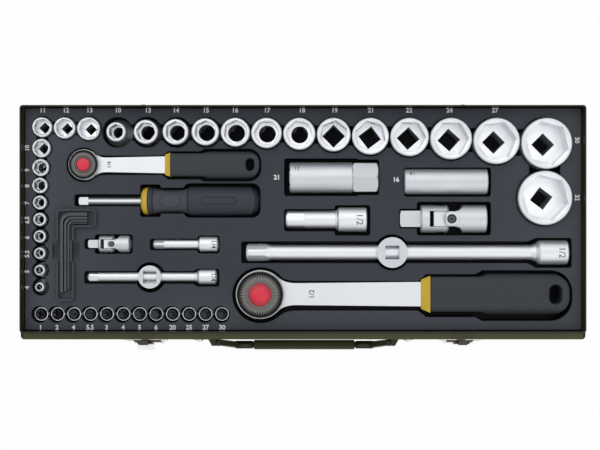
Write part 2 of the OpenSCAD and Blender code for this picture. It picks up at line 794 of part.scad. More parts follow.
module half_tool_rooms(g) {
    half_extension_rooms(g);
    joint_spot = half_joint_spot;
    room(along(joint_spot, -0.8, 16), edges(joint_spot, half_square / 2, [1.25, 1.55]),
         half_axis_z - half_tip_r - seat_gap, g);
    room(along(joint_spot, 13.2, half_joint_at[6] + 3.5), edges(joint_spot, half_joint_d / 2, [2, 2.4]),
         half_axis_z - half_joint_d / 2 - seat_gap, g);
    plug_z = plug_axis_z - plug_hex / 2 / cos(30) - seat_gap;
    room(along(plug_spot, -4.2, plug_l + 4.3), edges(plug_spot, plug_d / 2, [2.5, 2.7]), plug_z, g);
    room(along(plug_spot, plug_l, plug_l + plug_hex_l + 0.9), edges(plug_spot, plug_d / 2, [1.7, 1.9]),
         plug_z, g);
    room(along(slim_plug_spot, -0.3, slim_plug_l + 2.6), edges(slim_plug_spot, slim_plug_d / 2, [1.7, 0.6]),
         half_axis_z - slim_plug_d / 2 - seat_gap, g);
    ratchet_rooms(half_r, half_ratchet_spot, [-0.3, -0.8], 22, [[3.4, 0.8], [4.3, 1.9], [5.1, 2.8]],
                  2.8, 17, g);
}

// The rooms of a ratchet's head, drive, shank and grip. The head's room lies a little off the head, and the
// gaps are those in front of and behind the shank, the grip's narrow part and its wide part.
module ratchet_rooms(r, spot, shift, head_r, gaps, end_gap, end_r, g) {
    shank_floor = tray_z + shank_z(r)[0] - seat_gap;
    grip_floor = tray_z + grip_z(r)[0] - seat_gap;
    shank = edges(spot, shank_w(r)[1] / 2, gaps[0]);
    narrow = edges(spot, grip_narrow * grip_w(r) / 2, gaps[1]);
    wide = edges(spot, grip_w(r) / 2, gaps[2]);
    collar = along(spot, neck_l(r) - 2.5, neck_l(r) + collar_l(r) * 0.65);
    grip_x = neck_l(r) + collar_l(r);
    step = along(spot, grip_x + 0.325 * grip_len(r), grip_x + 0.38 * grip_len(r));
    end_x = spot[0] + grip_x + grip_len(r) + end_gap;
    well(spot + shift, 2 * head_r, tray_z + under(r) - seat_gap, g);
    well(spot, spindle_d(r) + 1.4, tray_z + drive_end(r) - seat_gap, g);
    flare([spot[0] + shift[0], (shank[0] + shank[1]) / 2], head_r, (shank[1] - shank[0]) / 2, shank_floor, g);
    room([spot[0] + head_r, collar[0] + 2], shank, shank_floor, g);
    slant(collar, shank, narrow, grip_floor, g);
    room([collar[1] - 2, step[0] + 2], narrow, grip_floor, g);
    slant(step, narrow, wide, grip_floor, g);
    room([step[1] - 2, end_x - end_r], wide, grip_floor, g);
    room([step[1] + 2, end_x], wide, grip_floor, g, end_r);
}

module quarter_extension_rooms(g) {
    end_z = quarter_axis_z - quarter_end_d / 2 - seat_gap;
    tip_z = quarter_axis_z - quarter_tip_r - seat_gap;
    shaft = edges(quarter_long_spot, quarter_shaft_d / 2, [1.95, 0.95]);
    end = edges(quarter_long_spot, quarter_end_d / 2, [1.75, 0.35]);
    step = along(quarter_long_spot, quarter_long_l - 18, quarter_long_l - 14.4);
    room(along(quarter_long_spot, -2.7, quarter_long_l - 16), shaft, tip_z, g);
    slant(step, shaft, end, end_z, g);
    room([step[1] - 2, quarter_long_spot[0] + quarter_long_l + 2.6], end, end_z, g);
    well(quarter_long_spot + [quarter_slider_x, -0.4], quarter_slider_d + 5.8,
         quarter_axis_z + quarter_slider_z[0] - quarter_slider_square_l - seat_gap, g);
    room(along(quarter_short_spot, -2.7, 36.5), edges(quarter_short_spot, quarter_shaft_d / 2, [1.3, 0.7]),
         tip_z, g);
    room(along(quarter_short_spot, 34.8, quarter_short_l + 1.5),
         edges(quarter_short_spot, quarter_end_d / 2, [1.35, 0.75]), end_z, g);
}

module quarter_tool_rooms(g) {
    quarter_extension_rooms(g);
    joint_spot = quarter_joint_spot;
    room(along(joint_spot, -2.9, 8), edges(joint_spot, quarter_square / 2, [1.03, 1.03]),
         quarter_axis_z - quarter_tip_r - seat_gap, g);
    room(along(joint_spot, 5.1, quarter_joint_at[6] + 2.2),
         edges(joint_spot, quarter_joint_d / 2, [1.1, 0.8]),
         quarter_axis_z - quarter_joint_d / 2 - seat_gap, g);
    // The driver's blade, its collar, its waist and the rest of its handle
    handle_z = driver_axis_z - driver_d / 2 - seat_gap;
    room(along(driver_spot, -2.6, driver_blade_l + 3), edges(driver_spot, quarter_square / 2, [1.1, 2.1]),
         driver_axis_z - driver_tip_r - seat_gap, g);
    room(along(driver_spot, driver_blade_l - 0.8, driver_blade_l + 15.5),
         edges(driver_spot, driver_collar_r, [1.2, 1.6]), handle_z, g);
    room(along(driver_spot, driver_blade_l + 12.8, driver_blade_l + 38),
         edges(driver_spot, driver_d / 2 - driver_waist, [0.5, 0.8]), handle_z, g);
    room(along(driver_spot, driver_blade_l + 32.5, driver_blade_l + driver_collar_l + driver_handle_l + 0.8),
         edges(driver_spot, driver_d / 2, [1.4, 2.1]), handle_z, g, 6.5);
    ratchet_rooms(quarter_r, quarter_ratchet_spot, [-1.1, 0], 13.6,
                  [[1.4, 0.7], [2.45, 1.65], [2.7, 2.3]], 1.3, 10, g);
}

module all_rooms(g) {
    half_socket_rooms(g);
    quarter_socket_rooms(g);
    half_tool_rooms(g);
    quarter_tool_rooms(g);
}

// The L-shaped bed of the hexagon keys, grown by the rib around it
module key_bed(grow) {
    low = [key_spot[0] - key_sizes[0] / 2 - 0.6 - grow, key_spot[1] - key_long - 5.4 - grow];
    high = [key_spot[0] + key_short + 5.2 + grow, key_spot[1] + key_sizes[0] / 2 + 1 + grow];
    inner = [key_spot[0] + key_reach + key_room + grow, key_spot[1] - key_reach - key_room - grow];
    r = key_corner + grow;
    translate([low[0] + inner[0], low[1] + high[1]] / 2) rounded(inner[0] - low[0], high[1] - low[1], r);
    translate([low[0] + high[0], inner[1] + high[1]] / 2) rounded(high[0] - low[0], high[1] - inner[1], r);
    // The rounded inner corner, which keeps clear of the shortest key's bend
    inner_r = key_bends[3] - key_sizes[3] / 2 - key_room - grow;
    difference() {
        translate([inner[0] - 0.1, inner[1] - inner_r]) square([inner_r + 0.1, inner_r + 0.1]);
        translate(inner + [inner_r, -inner_r]) circle(r = inner_r);
    }
}

// The shallow hollow that lets a finger under the keys
module finger_scoop(g) {
    x = [key_spot[0] - 7.4, key_spot[0] + 13.6];
    y = key_spot[1] - 28.95;
    r = (pow(scoop_w / 2, 2) + pow(scoop_depth, 2)) / (2 * scoop_depth);
    intersection() {
        translate([x[0] - g, y, tray_z - scoop_depth + r])
            rotate([0, 90, 0]) cylinder(h = x[1] - x[0] + 2 * g, r = r + g);
        box_from([x[0] - g, y - scoop_w / 2 - 2 * g, tray_z - scoop_depth - g],
                 [x[1] + g, y + scoop_w / 2 + 2 * g, g > 0 ? tray_z : tray_z + rib_h + 1]);
    }
}

module tray() {
    color("dimgray")
    difference() {
        union() {
            translate([0, 0, tray_z - tray_wall]) linear_extrude(tray_wall) rounded(tray_w, tray_d, 1.8);
            difference() {
                translate([0, 0, tray_foot_z])
                    linear_extrude(tray_z - tray_foot_z) rounded(tray_w, tray_d, 1.8);
                translate([0, 0, tray_foot_z - 1]) linear_extrude(tray_z - tray_foot_z + 2)
                    square([tray_w - 2 * tray_wall, tray_d - 2 * tray_wall], center = true);
            }
            all_rooms(tray_wall);
            finger_scoop(tray_wall);
            difference() {
                translate([0, 0, tray_z - tray_wall / 2])
                    linear_extrude(rib_h + tray_wall / 2) key_bed(rib_t);
                translate([0, 0, tray_z]) linear_extrude(rib_h + 1) key_bed(0);
            }
        }
        all_rooms(0);
        finger_scoop(0);
    }
}

// ---- sockets

// A socket that stands on its drive end: a foot, a body and a nose, with a hexagon from above. The drive
// is cut by the module that calls it.
module socket(od, nose, foot, l, hex, hex_depth) {
    difference() {
        rotate_extrude() polygon([
            [0, 0], [foot / 2 - 0.8, 0], [foot / 2, 0.8], [foot / 2, l * 0.36], [od / 2, l * 0.44],
            [od / 2, l * 0.62], [nose / 2, l * 0.7], [nose / 2, l - 0.8], [nose / 2 - 0.8, l], [0, l]]);
        translate([0, 0, l - hex_depth]) linear_extrude(hex_depth + 1) hexagon(hex + 0.2);
        // The lead-in
        translate([0, 0, l - 0.8]) cylinder(h = 1, d1 = hex + 0.2, d2 = (hex + 0.2) / cos(30) + 0.4);
    }
}

// The square hole of a drive end, open downwards, with a round hole above it up to the hexagon
module drive_hole(side, depth, round_d, top) {
    translate([0, 0, -1]) linear_extrude(depth + 1) square(side + 0.2, center = true);
    if (round_d > 0) translate([0, 0, 0.5]) cylinder(h = top, d = round_d);
}

module half_socket(i) {
    l = half_len(i);
    small = half_sizes[i] <= half_round_up_to;
    hex_depth = small ? half_hex_depth : half_big_hex_depth;
    foot = half_min_od + 0.45 * (half_od(i) - half_min_od);
    color("lightgray")
    translate([half_x(i), half_y(i), tray_z + half_rise - l])
        difference() {
            rotate([0, 0, half_turns[i]]) socket(half_od(i), half_nose(i), foot, l, half_sizes[i], hex_depth);
            rotate([0, 0, square_turns[i]])
                drive_hole(half_square, small ? 16 : l - hex_depth + 0.5,
                           small ? min(half_sizes[i] * 0.86, half_round_d) : 0, l - hex_depth);
        }
}

module quarter_socket(s, x, y, turn) {
    open_square = s >= quarter_square_from;
    color("lightgray")
    translate([x, y, tray_z + quarter_rise - quarter_l])
        difference() {
            rotate([0, 0, turn])
                socket(quarter_od(s), quarter_nose(s), quarter_min_od, quarter_l, s, quarter_hex_depth);
            rotate([0, 0, 45])
                drive_hole(quarter_square, open_square ? quarter_l - quarter_hex_depth + 0.5 : 8,
                           open_square ? 0 : s * 0.92, quarter_l - quarter_hex_depth);
        }
}

module quarter_sockets() {
    for (i = [0:len(column_sizes) - 1])
        quarter_socket(column_sizes[i], column_x(i), column_y(i), column_turns[i]);
    for (i = [1:2])
        quarter_socket(row_sizes[i], row_x(i), row_y(i), row_turns[i]);
}

// ---- bits

nose_z = tray_z - bit_sink;
bit_hold = 11;

module bit_sockets() {
    color("silver")
    for (i = [0:11]) translate([bit_spot[0] + i * bit_pitch, bit_spot[1], nose_z - bit_l])
        difference() {
            rotate_extrude() polygon([
                [0, 0], [bit_od / 2 - 0.6, 0], [bit_od / 2, 0.6], [bit_od / 2, bit_l - 2],
                [bit_nose / 2, bit_l - 1], [bit_nose / 2, bit_l], [0, bit_l]]);
            translate([0, 0, -1]) linear_extrude(9) square(quarter_square + 0.2, center = true);
            translate([0, 0, bit_l - bit_hold]) linear_extrude(bit_hold + 1) hexagon(bit_hex + 0.1);
            translate([0, 0, bit_l - 3]) cylinder(h = 4, d = bit_nose - 2);
        }
}

module bit_tip(kind, w) {
    if (kind == "cross")
        intersection() {
            cylinder(h = bit_reach, r1 = w / 2 + 0.8, r2 = w / 5);
            union() {
                translate([-w, -0.7, 0]) cube([2 * w, 1.4, bit_reach]);
                translate([-0.7, -w, 0]) cube([1.4, 2 * w, bit_reach]);
            }
        }
    if (kind == "slot") translate([-w / 2, -0.5, 0]) cube([w, 1, bit_reach]);
    if (kind == "hex") linear_extrude(bit_reach) hexagon(w);
    if (kind == "star")
        linear_extrude(bit_reach) {
            circle(d = w * 0.74);
            for (a = [0:60:300]) rotate(a) translate([w * 0.37, 0]) circle(d = w * 0.26);
        }
}

module bits() {
    color("silver")
    for (i = [0:11]) translate([bit_spot[0] + i * bit_pitch, bit_spot[1], nose_z]) {
        translate([0, 0, -bit_hold]) linear_extrude(bit_hold + 2) hexagon(bit_hex);
        bit_tip(bit_kinds[i], bit_widths[i]);
    }
}

// ---- ratchets

// Values of one ratchet, over the tray's face: head, heights, shank, grip, button and drive
half_r = [half_head_d, half_top, half_under, half_drive_end, half_shank_w, half_shank, half_neck_l,
          half_collar_l, half_grip_l, half_grip_w, half_grip_z, half_button_d, half_press, half_square, 6.6];
quarter_r = [quarter_head_d, quarter_top, quarter_under, quarter_drive_end, quarter_shank_w, quarter_shank,
             quarter_neck_l, quarter_collar_l, quarter_grip_l, quarter_grip_w, quarter_grip_z,
             quarter_button_d, quarter_press, quarter_square, 3.8];

function head_d(r) = r[0];
function top(r) = r[1];
function under(r) = r[2];
function drive_end(r) = r[3];
function shank_w(r) = r[4];
function shank_z(r) = r[5];
function neck_l(r) = r[6];
function collar_l(r) = r[7];
function grip_len(r) = r[8];
function grip_w(r) = r[9];
function grip_z(r) = r[10];
function button_d(r) = r[11];
function press(r) = r[12];
function side(r) = r[13];
function tang_w(r) = r[14];
function bore_d(r) = head_d(r) * 0.79;
function gear_d(r) = head_d(r) * 0.66;
function stub_d(r) = button_d(r) + head_d(r) * 0.07;
function ring_h(r) = head_d(r) * 0.06;
function lip(r) = head_d(r) * 0.05;
function spindle_d(r) = head_d(r) * 0.5;
function pawl_x(r) = [bore_d(r) * 0.46, bore_d(r) * 0.58];
function tang_z(r) = (shank_z(r)[0] + shank_z(r)[1]) / 2;
function tang_len(r) = grip_len(r) * 0.4;
function stub_top(r) = top(r) + ring_h(r) + 0.4;
function button_low(r) = stub_top(r) - press(r) * 2;

module half_place() {
    translate([half_ratchet_spot[0], half_ratchet_spot[1], tray_z]) children();
}

module quarter_place() {
    translate([quarter_ratchet_spot[0], quarter_ratchet_spot[1], tray_z]) children();
}

// Head, shank and the tang that the collar and the grip are pushed over
module ratchet_frame(r) {
    h = top(r) - under(r);
    neck = neck_curve(head_d(r) / 2, shank_w(r)[0] / 2, head_d(r) * 0.735);
    color("lightgray")
    difference() {
        union() {
            translate([0, 0, under(r)]) cylinder(h = h - 0.8, d = head_d(r));
            translate([0, 0, top(r) - 0.8]) cylinder(h = 0.8, d1 = head_d(r), d2 = head_d(r) - 1.6);
            translate([0, 0, shank_z(r)[0]]) linear_extrude(shank_z(r)[1] - shank_z(r)[0])
                both_sides(concat(neck, [[neck_l(r), shank_w(r)[1] / 2]]));
            translate([neck_l(r) - 1, -tang_w(r), tang_z(r) - tang_w(r) / 2])
                cube([1 + collar_l(r) + tang_len(r), 2 * tang_w(r), tang_w(r)]);
        }
        translate([0, 0, under(r) + head_wall]) cylinder(h = h, d = bore_d(r));
        translate([0, 0, under(r) - 1]) cylinder(h = h, d = spindle_d(r) + 2 * turn_gap);
        // The pawl's own recess
        translate([0, -bore_d(r) * 0.2, under(r) + head_wall])
            cube([pawl_x(r)[1] + 0.3, bore_d(r) * 0.4, h - head_wall - lip(r) - 1.2]);
    }
}

module ratchet_collar(r) {
    w = [shank_w(r)[1] * 1.2, grip_w(r) * 0.9];
    z = [grip_z(r)[0] * 0.8, grip_z(r)[1] * 0.8];
    x = neck_l(r);
    color("gold")
    difference() {
        intersection() {
            translate([0, 0, z[0]]) linear_extrude(z[1] - z[0])
                both_sides([[x, w[0] / 2], [x + collar_l(r), w[1] / 2]]);
            translate([0, 30, 0]) rotate([90, 0, 0]) linear_extrude(60) polygon([
                [x, shank_z(r)[0] - 0.6], [x + collar_l(r), z[0]], [x + collar_l(r), z[1]],
                [x, shank_z(r)[1] + 0.6]]);
        }
        translate([x - 1, -tang_w(r) - tang_gap, tang_z(r) - tang_w(r) / 2 - tang_gap])
            cube([collar_l(r) + 2, 2 * (tang_w(r) + tang_gap), tang_w(r) + 2 * tang_gap]);
    }
}

// The moulded grip: narrower in front, with a rounded end and an oval hole to hang it by
module ratchet_grip(r) {
    x = neck_l(r) + collar_l(r);
    l = grip_len(r);
    w = grip_w(r);
    h = grip_z(r)[1] - grip_z(r)[0];
    narrow = grip_narrow * w / 2;
    hole = w * 0.155;
    end = w * 0.43;
    color("dimgray")
    difference() {
        intersection() {
            translate([x, 0, (grip_z(r)[0] + grip_z(r)[1]) / 2]) along_x(l) rounded(w, h, h * 0.36);
            translate([0, 0, grip_z(r)[0]]) linear_extrude(h) {
                both_sides([[x, narrow], [x + l * 0.36, narrow], [x + l * 0.42, w / 2],
                            [x + l - end, w / 2]]);
                translate([x + l - w / 2, 0]) rounded(w, w, end);
            }
        }
        translate([x + l - w * 0.19 - hole, 0, grip_z(r)[0] - 1]) linear_extrude(h + 2) {
            for (s = [-1, 1]) translate([0, s * (w * 0.24 - hole)]) circle(r = hole);
            square([2 * hole, 2 * (w * 0.24 - hole)], center = true);
        }
        translate([x - 1, -tang_w(r) - tang_gap, tang_z(r) - tang_w(r) / 2 - tang_gap])
            cube([tang_len(r) + 1, 2 * (tang_w(r) + tang_gap), tang_w(r) + 2 * tang_gap]);
    }
}

// The selector ring, with a lip that turns in the head's bore
module ratchet_ring(r) {
    color("black")
    difference() {
        union() {
            translate([0, 0, top(r) + 0.1]) cylinder(h = ring_h(r), d = head_d(r) * 0.92);
            translate([0, 0, top(r) - lip(r)]) cylinder(h = lip(r) + 0.2, d = bore_d(r) - 2 * turn_gap);
        }
        translate([0, 0, top(r) - lip(r) - 1]) cylinder(h = 20, d = stub_d(r) + 2 * turn_gap);
    }
}

module ratchet_pawl(r) {
    color("silver")
    translate([pawl_x(r)[0], -bore_d(r) * 0.17, under(r) + head_wall])
        cube([pawl_x(r)[1] - pawl_x(r)[0], bore_d(r) * 0.34, (top(r) - under(r)) * 0.55]);
}

// Gear, spindle and square drive in one, bored from above for the button
module ratchet_drive(r) {
    gear_low = under(r) + head_wall + 0.1;
    gear_top = top(r) - lip(r) - 0.2;
    color("silver")
    difference() {
        union() {
            translate([0, 0, gear_low]) cylinder(h = gear_top - gear_low, d = gear_d(r));
            translate([0, 0, gear_top - 1]) cylinder(h = stub_top(r) - gear_top + 1, d = stub_d(r));
            translate([0, 0, under(r) - 0.8]) cylinder(h = head_wall + 2, d = spindle_d(r));
            translate([0, 0, drive_end(r)])
                linear_extrude(under(r) - drive_end(r)) square(side(r), center = true);
        }
        translate([0, 0, button_low(r) - press(r) - 0.2]) cylinder(h = 20, d = button_d(r) + 2 * turn_gap);
    }
}

module ratchet_button(r) {
    high = stub_top(r) + press(r) * 0.65;
    dome = button_d(r) * 1.6;
    color("crimson")
    intersection() {
        translate([0, 0, button_low(r)]) cylinder(h = 20, d = button_d(r));
        translate([0, 0, high - dome]) sphere(r = dome, $fn = 96);
    }
}

module half_ratchet_frame() { half_place() ratchet_frame(half_r); }
module half_ratchet_collar() { half_place() ratchet_collar(half_r); }
module half_ratchet_grip() { half_place() ratchet_grip(half_r); }
module half_ratchet_ring() { half_place() ratchet_ring(half_r); }
module half_ratchet_pawl() { half_place() ratchet_pawl(half_r); }
module half_ratchet_drive() { half_place() ratchet_drive(half_r); }
module half_ratchet_button() { half_place() ratchet_button(half_r); }
module quarter_ratchet_frame() { quarter_place() ratchet_frame(quarter_r); }
module quarter_ratchet_collar() { quarter_place() ratchet_collar(quarter_r); }
module quarter_ratchet_grip() { quarter_place() ratchet_grip(quarter_r); }
module quarter_ratchet_ring() { quarter_place() ratchet_ring(quarter_r); }
module quarter_ratchet_pawl() { quarter_place() ratchet_pawl(quarter_r); }
module quarter_ratchet_drive() { quarter_place() ratchet_drive(quarter_r); }
module quarter_ratchet_button() { quarter_place() ratchet_button(quarter_r); }

// ---- driver

module driver_place() {
    translate([driver_spot[0], driver_spot[1], driver_axis_z]) children();
}

module driver_blade() {
    color("lightgray") driver_place() {
        intersection() {
            along_x(7.7) square(quarter_square, center = true);
            turned_x([[0, 0], [0, driver_tip_r - 1], [1, driver_tip_r], [7.7, driver_tip_r], [7.7, 0]]);
        }
        translate([7.6, 0, 0]) rotate([0, 90, 0])
            cylinder(h = driver_blade_l - 7.6 + driver_collar_l + driver_tang_l, d = driver_blade_d);
    }
}

module driver_collar() {
    color("gold") driver_place() translate([driver_blade_l, 0, 0])
        difference() {
            turned_x([[0, 0], [0, driver_collar_r - 2.8], [1.6, driver_collar_r - 0.8],
                      [driver_collar_l, driver_collar_r], [driver_collar_l, 0]]);
            translate([-1, 0, 0]) rotate([0, 90, 0])
                cylinder(h = driver_collar_l + 2, d = driver_blade_d + 0.1);
        }
}

module driver_handle() {
    l = driver_handle_l;
    r = driver_d / 2;
    color("dimgray") driver_place() translate([driver_blade_l + driver_collar_l, 0, 0])
        difference() {
            turned_x([[0, 0], [0, r - 0.8], [4.2, r - 0.8], [4.8, r - 1.6], [12, r - driver_waist],
                      [26, r - driver_waist], [31, r - 1.3], [32, r - 0.3], [34, r], [l - 7, r - 0.3],
                      [l - 2.5, r - 2.2], [l, r - 5.5], [l, 0]]);
            translate([-1, 0, 0])
                rotate([0, 90, 0]) cylinder(h = driver_tang_l + 1, d = driver_blade_d + 0.1);
        }
}

// ---- extensions

// A square tip whose corners are turned down to tip_r, a shaft and a socket end, lying along +X from the
// tip. A cone leads from the tip's corners to the shaft, and another one widens the shaft to the end.
module extension(side, tip_l, tip_r, l, shaft_d, end_d, end_l, cone_l, turn) {
    shaft_x = tip_l + side * 0.4;
    color("lightgray")
    difference() {
        union() {
            intersection() {
                rotate([turn, 0, 0]) along_x(shaft_x) square(side, center = true);
                turned_x([[0, 0], [0, side * 0.55 - 1], [1.5, tip_r], [tip_l, tip_r],
                          [shaft_x, shaft_d / 2 - 0.05], [shaft_x, 0]]);
            }
            turned_x([[tip_l, 0], [tip_l, shaft_d / 2], [l - end_l - cone_l, shaft_d / 2],
                      [l - end_l - cone_l * 0.45, shaft_d * 0.35 + end_d * 0.15], [l - end_l, end_d / 2],
                      [l - 0.8, end_d / 2], [l, end_d / 2 - 0.8], [l, 0]]);
        }
        translate([l - tip_l, 0, 0]) along_x(tip_l + 1) square(side + 0.2, center = true);
    }
}

module half_extension_long() {
    translate([long_spot[0], long_spot[1], half_axis_z])
        extension(half_square, 14.8, half_tip_r, long_l, half_shaft_d, half_end_d, 22.5, 6.5, 45);
}

module half_extension_short() {
    translate([short_spot[0], short_spot[1], half_axis_z])
        extension(half_square, 14.8, half_tip_r - 0.1, short_l, short_shaft_d, half_end_d, 22, 3, -17);
}

module quarter_extension_long() {
    translate([quarter_long_spot[0], quarter_long_spot[1], quarter_axis_z])
        extension(quarter_square, 8, quarter_tip_r, quarter_long_l, quarter_shaft_d, quarter_end_d, 13, 4,
                  20);
}

module quarter_extension_short() {
    translate([quarter_short_spot[0], quarter_short_spot[1], quarter_axis_z])
        extension(quarter_square, 8.4, quarter_tip_r, quarter_short_l, quarter_shaft_d, quarter_end_d, 14,
                  1.8, 45);
}

// ---- sliding heads

// An upright drum on an extension's shaft, with a window above the shaft and a square drive below
module sliding_head(d, z, window, shaft_d, side, side_l) {
    color("silver")
    difference() {
        union() {
            translate([0, 0, z[0]]) cylinder(h = z[1] - z[0], d = d);
            translate([0, 0, z[0] - side_l]) linear_extrude(side_l + 1) square(side, center = true);
        }
        translate([-d, 0, 0]) along_x(2 * d) circle(d = shaft_d + 2 * turn_gap);
        translate([-window[0] / 2, -window[1] / 2, 0]) cube([window[0], window[1], z[1] + 1]);
    }
}

module half_sliding_head() {
    translate([long_spot[0] + half_slider_x, long_spot[1], half_axis_z])
        sliding_head(half_slider_d, half_slider_z, [10.9, 10.6], half_shaft_d, half_square,
                     half_slider_square_l);
}

module quarter_sliding_head() {
    translate([quarter_long_spot[0] + quarter_slider_x, quarter_long_spot[1], quarter_axis_z])
        sliding_head(quarter_slider_d, quarter_slider_z, [10.5, 9.9], quarter_shaft_d, quarter_square,
                     quarter_slider_square_l);
}

// ---- universal joints

function slot_r(d) = d * 0.28;
function block_r(d) = slot_r(d) - 0.3;
function joint_pin_d(d) = d * 0.33;

module joint_fork(d, at, side) {
    color("lightgray")
    difference() {
        union() {
            intersection() {
                along_x(at[0] + 0.1) square(side, center = true);
                turned_x([[0, 0], [0, side * 0.55], [1, side * 0.7], [at[0] + 0.1, side * 0.7],
                          [at[0] + 0.1, 0]]);
            }
            turned_x([[at[0], 0], [at[0], d / 2 - 1], [at[0] + 1, d / 2], [at[2] - 1.5, d / 2],
                      [at[2], d / 2 - 1.5], [at[2], 0]]);
        }
        box_from([at[1], -slot_r(d), -d], [at[2] + 1, slot_r(d), d]);
        translate([at[3], d, 0]) rotate([90, 0, 0]) cylinder(h = 2 * d, d = joint_pin_d(d) + 2 * turn_gap);
    }
}

// The block between the two forks, with both pins fast in it
module joint_block(d, at) {
    r = block_r(d);
    color("silver") {
        box_from([at[3] - r, -r, -r], [at[4] + r, r, r]);
        translate([at[3], d / 2 - 0.7, 0]) rotate([90, 0, 0]) cylinder(h = d - 1.4, d = joint_pin_d(d));
        translate([at[4], 0, 0.7 - d / 2]) cylinder(h = d - 1.4, d = joint_pin_d(d));
    }
}

module joint_yoke(d, at, side) {
    ear = block_r(d);
    start = at[4] - ear;
    flare_l = at[5] - at[4];
    color("lightgray")
    difference() {
        intersection() {
            turned_x([[start, 0], [start, d / 2 - 1.5], [start + 1.5, d / 2], [at[6] - 0.8, d / 2],
                      [at[6], d / 2 - 0.8], [at[6], 0]]);
            translate([0, 0, -d]) linear_extrude(2 * d) {
                translate([at[4], 0]) circle(r = ear);
                both_sides(concat([[at[4], ear]], curve([at[4] + 0.3 * flare_l, ear],
                    [at[4] + 0.8 * flare_l, ear], [at[5], d / 2 + 0.1]), [[at[6] + 1, d / 2 + 0.1]]));
            }
        }
        box_from([start - 1, -d, -slot_r(d)], [at[4] + d * 0.32, d, slot_r(d)]);
        translate([at[4], 0, -d]) cylinder(h = 2 * d, d = joint_pin_d(d) + 2 * turn_gap);
        translate([at[6] - side * 1.08, 0, 0]) along_x(side * 1.2) square(side + 0.2, center = true);
    }
}

module half_joint_place() {
    translate([half_joint_spot[0], half_joint_spot[1], half_axis_z]) children();
}

module quarter_joint_place() {
    translate([quarter_joint_spot[0], quarter_joint_spot[1], quarter_axis_z]) children();
}

module half_joint_fork() { half_joint_place() joint_fork(half_joint_d, half_joint_at, half_square); }
module half_joint_block() { half_joint_place() joint_block(half_joint_d, half_joint_at); }
module half_joint_yoke() { half_joint_place() joint_yoke(half_joint_d, half_joint_at, half_square); }
module quarter_joint_fork() {
    quarter_joint_place() joint_fork(quarter_joint_d, quarter_joint_at, quarter_square);
}
module quarter_joint_block() { quarter_joint_place() joint_block(quarter_joint_d, quarter_joint_at); }
module quarter_joint_yoke() {
    quarter_joint_place() joint_yoke(quarter_joint_d, quarter_joint_at, quarter_square);
}

// ---- spark plug sockets

// Widths of the hexagons that take the spark plugs, and the depths of the hexagon and of the square drive
plug_hole = 21;
slim_plug_hole = 16.2;
plug_hole_l = 28;
drive_l = 16;

module plug_socket() {
    l = plug_l + plug_hex_l;
    color("lightgray")
    translate([plug_spot[0], plug_spot[1], plug_axis_z])
        difference() {
            union() {
                turned_x([[0, 0], [0, plug_d / 2 - 0.8], [0.8, plug_d / 2], [plug_l - 1, plug_d / 2],
                          [plug_l, plug_d / 2 - 1], [plug_l, 0]]);
                intersection() {
                    along_x(l) rotate(30) hexagon(plug_hex);
                    turned_x([[plug_l - 1, 0], [plug_l - 1, plug_hex * 0.5], [plug_l + 2, plug_hex * 0.6],
                              [l - 2, plug_hex * 0.6], [l, plug_hex * 0.5], [l, 0]]);
                }
            }
            translate([-1, 0, 0]) along_x(plug_hole_l + 1) hexagon(plug_hole);
            rotate([0, 90, 0]) cylinder(h = l - drive_l + 1, d = plug_hole - 4);
            translate([l - drive_l, 0, 0]) along_x(drive_l + 1) square(half_square + 0.2, center = true);
        }
}

module slim_plug_socket() {
    l = slim_plug_l;
    color("lightgray")
    translate([slim_plug_spot[0], slim_plug_spot[1], half_axis_z])
        difference() {
            turned_x([[0, 0], [0, slim_plug_d / 2 - 0.8], [0.8, slim_plug_d / 2], [l - 0.8, slim_plug_d / 2],
                      [l, slim_plug_d / 2 - 0.8], [l, 0]]);
            translate([-1, 0, 0]) along_x(drive_l + 1) square(half_square + 0.2, center = true);
            rotate([0, 90, 0]) cylinder(h = l - 10, d = slim_plug_hole - 2.2);
            translate([l - 24, 0, 0]) along_x(25) hexagon(slim_plug_hole);
        }
}

// ---- hexagon keys

module hex_key(af, bend, long, short) {
    translate([-bend, bend, 0]) {
        // The bend, between the two legs
        translate([2 * bend, -2 * bend, 0]) rotate([0, 0, 90])
            rotate_extrude(angle = 90) translate([bend, 0]) rotate(30) hexagon(af);
        translate([bend, -2 * bend, 0]) rotate([90, 0, 0]) linear_extrude(long - bend) rotate(30) hexagon(af);
        translate([2 * bend, -bend, 0]) along_x(short - bend) rotate(30) hexagon(af);
    }
}

module hex_keys() {
    color("lightgray")
    for (i = [0:3])
        translate([key_spot[0] + key_offset(i), key_spot[1] - key_offset(i),
                   tray_z + seat_gap + key_sizes[i] / 2 / cos(30)])
            hex_key(key_sizes[i], key_bends[i], key_long - key_offset(i) - i * 0.8,
                    key_short - key_offset(i));
}

// ---- the set

lid_shell();
base_shell();
tray();
handle_brackets();
handle_bail();
handle_grip();
latch_plates();
latch_springs();
latch_lever_left();
latch_lever_right();
case_rivets();
half_ratchet_frame();
half_ratchet_collar();
half_ratchet_grip();
half_ratchet_ring();
half_ratchet_pawl();
half_ratchet_drive();
half_ratchet_button();
quarter_ratchet_frame();
quarter_ratchet_collar();
quarter_ratchet_grip();
quarter_ratchet_ring();
quarter_ratchet_pawl();
quarter_ratchet_drive();
quarter_ratchet_button();
driver_blade();
driver_collar();
driver_handle();
half_joint_fork();
half_joint_block();
half_joint_yoke();
quarter_joint_fork();
quarter_joint_block();
quarter_joint_yoke();
half_extension_long();
half_extension_short();
half_sliding_head();
quarter_extension_long();
quarter_extension_short();
quarter_sliding_head();
plug_socket();
slim_plug_socket();
hex_keys();
bit_sockets();
bits();
quarter_sockets();
for (i = [0:half_last])
    half_socket(i);
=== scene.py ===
import json
import math

import bmesh
import bpy
from mathutils import Matrix, Vector


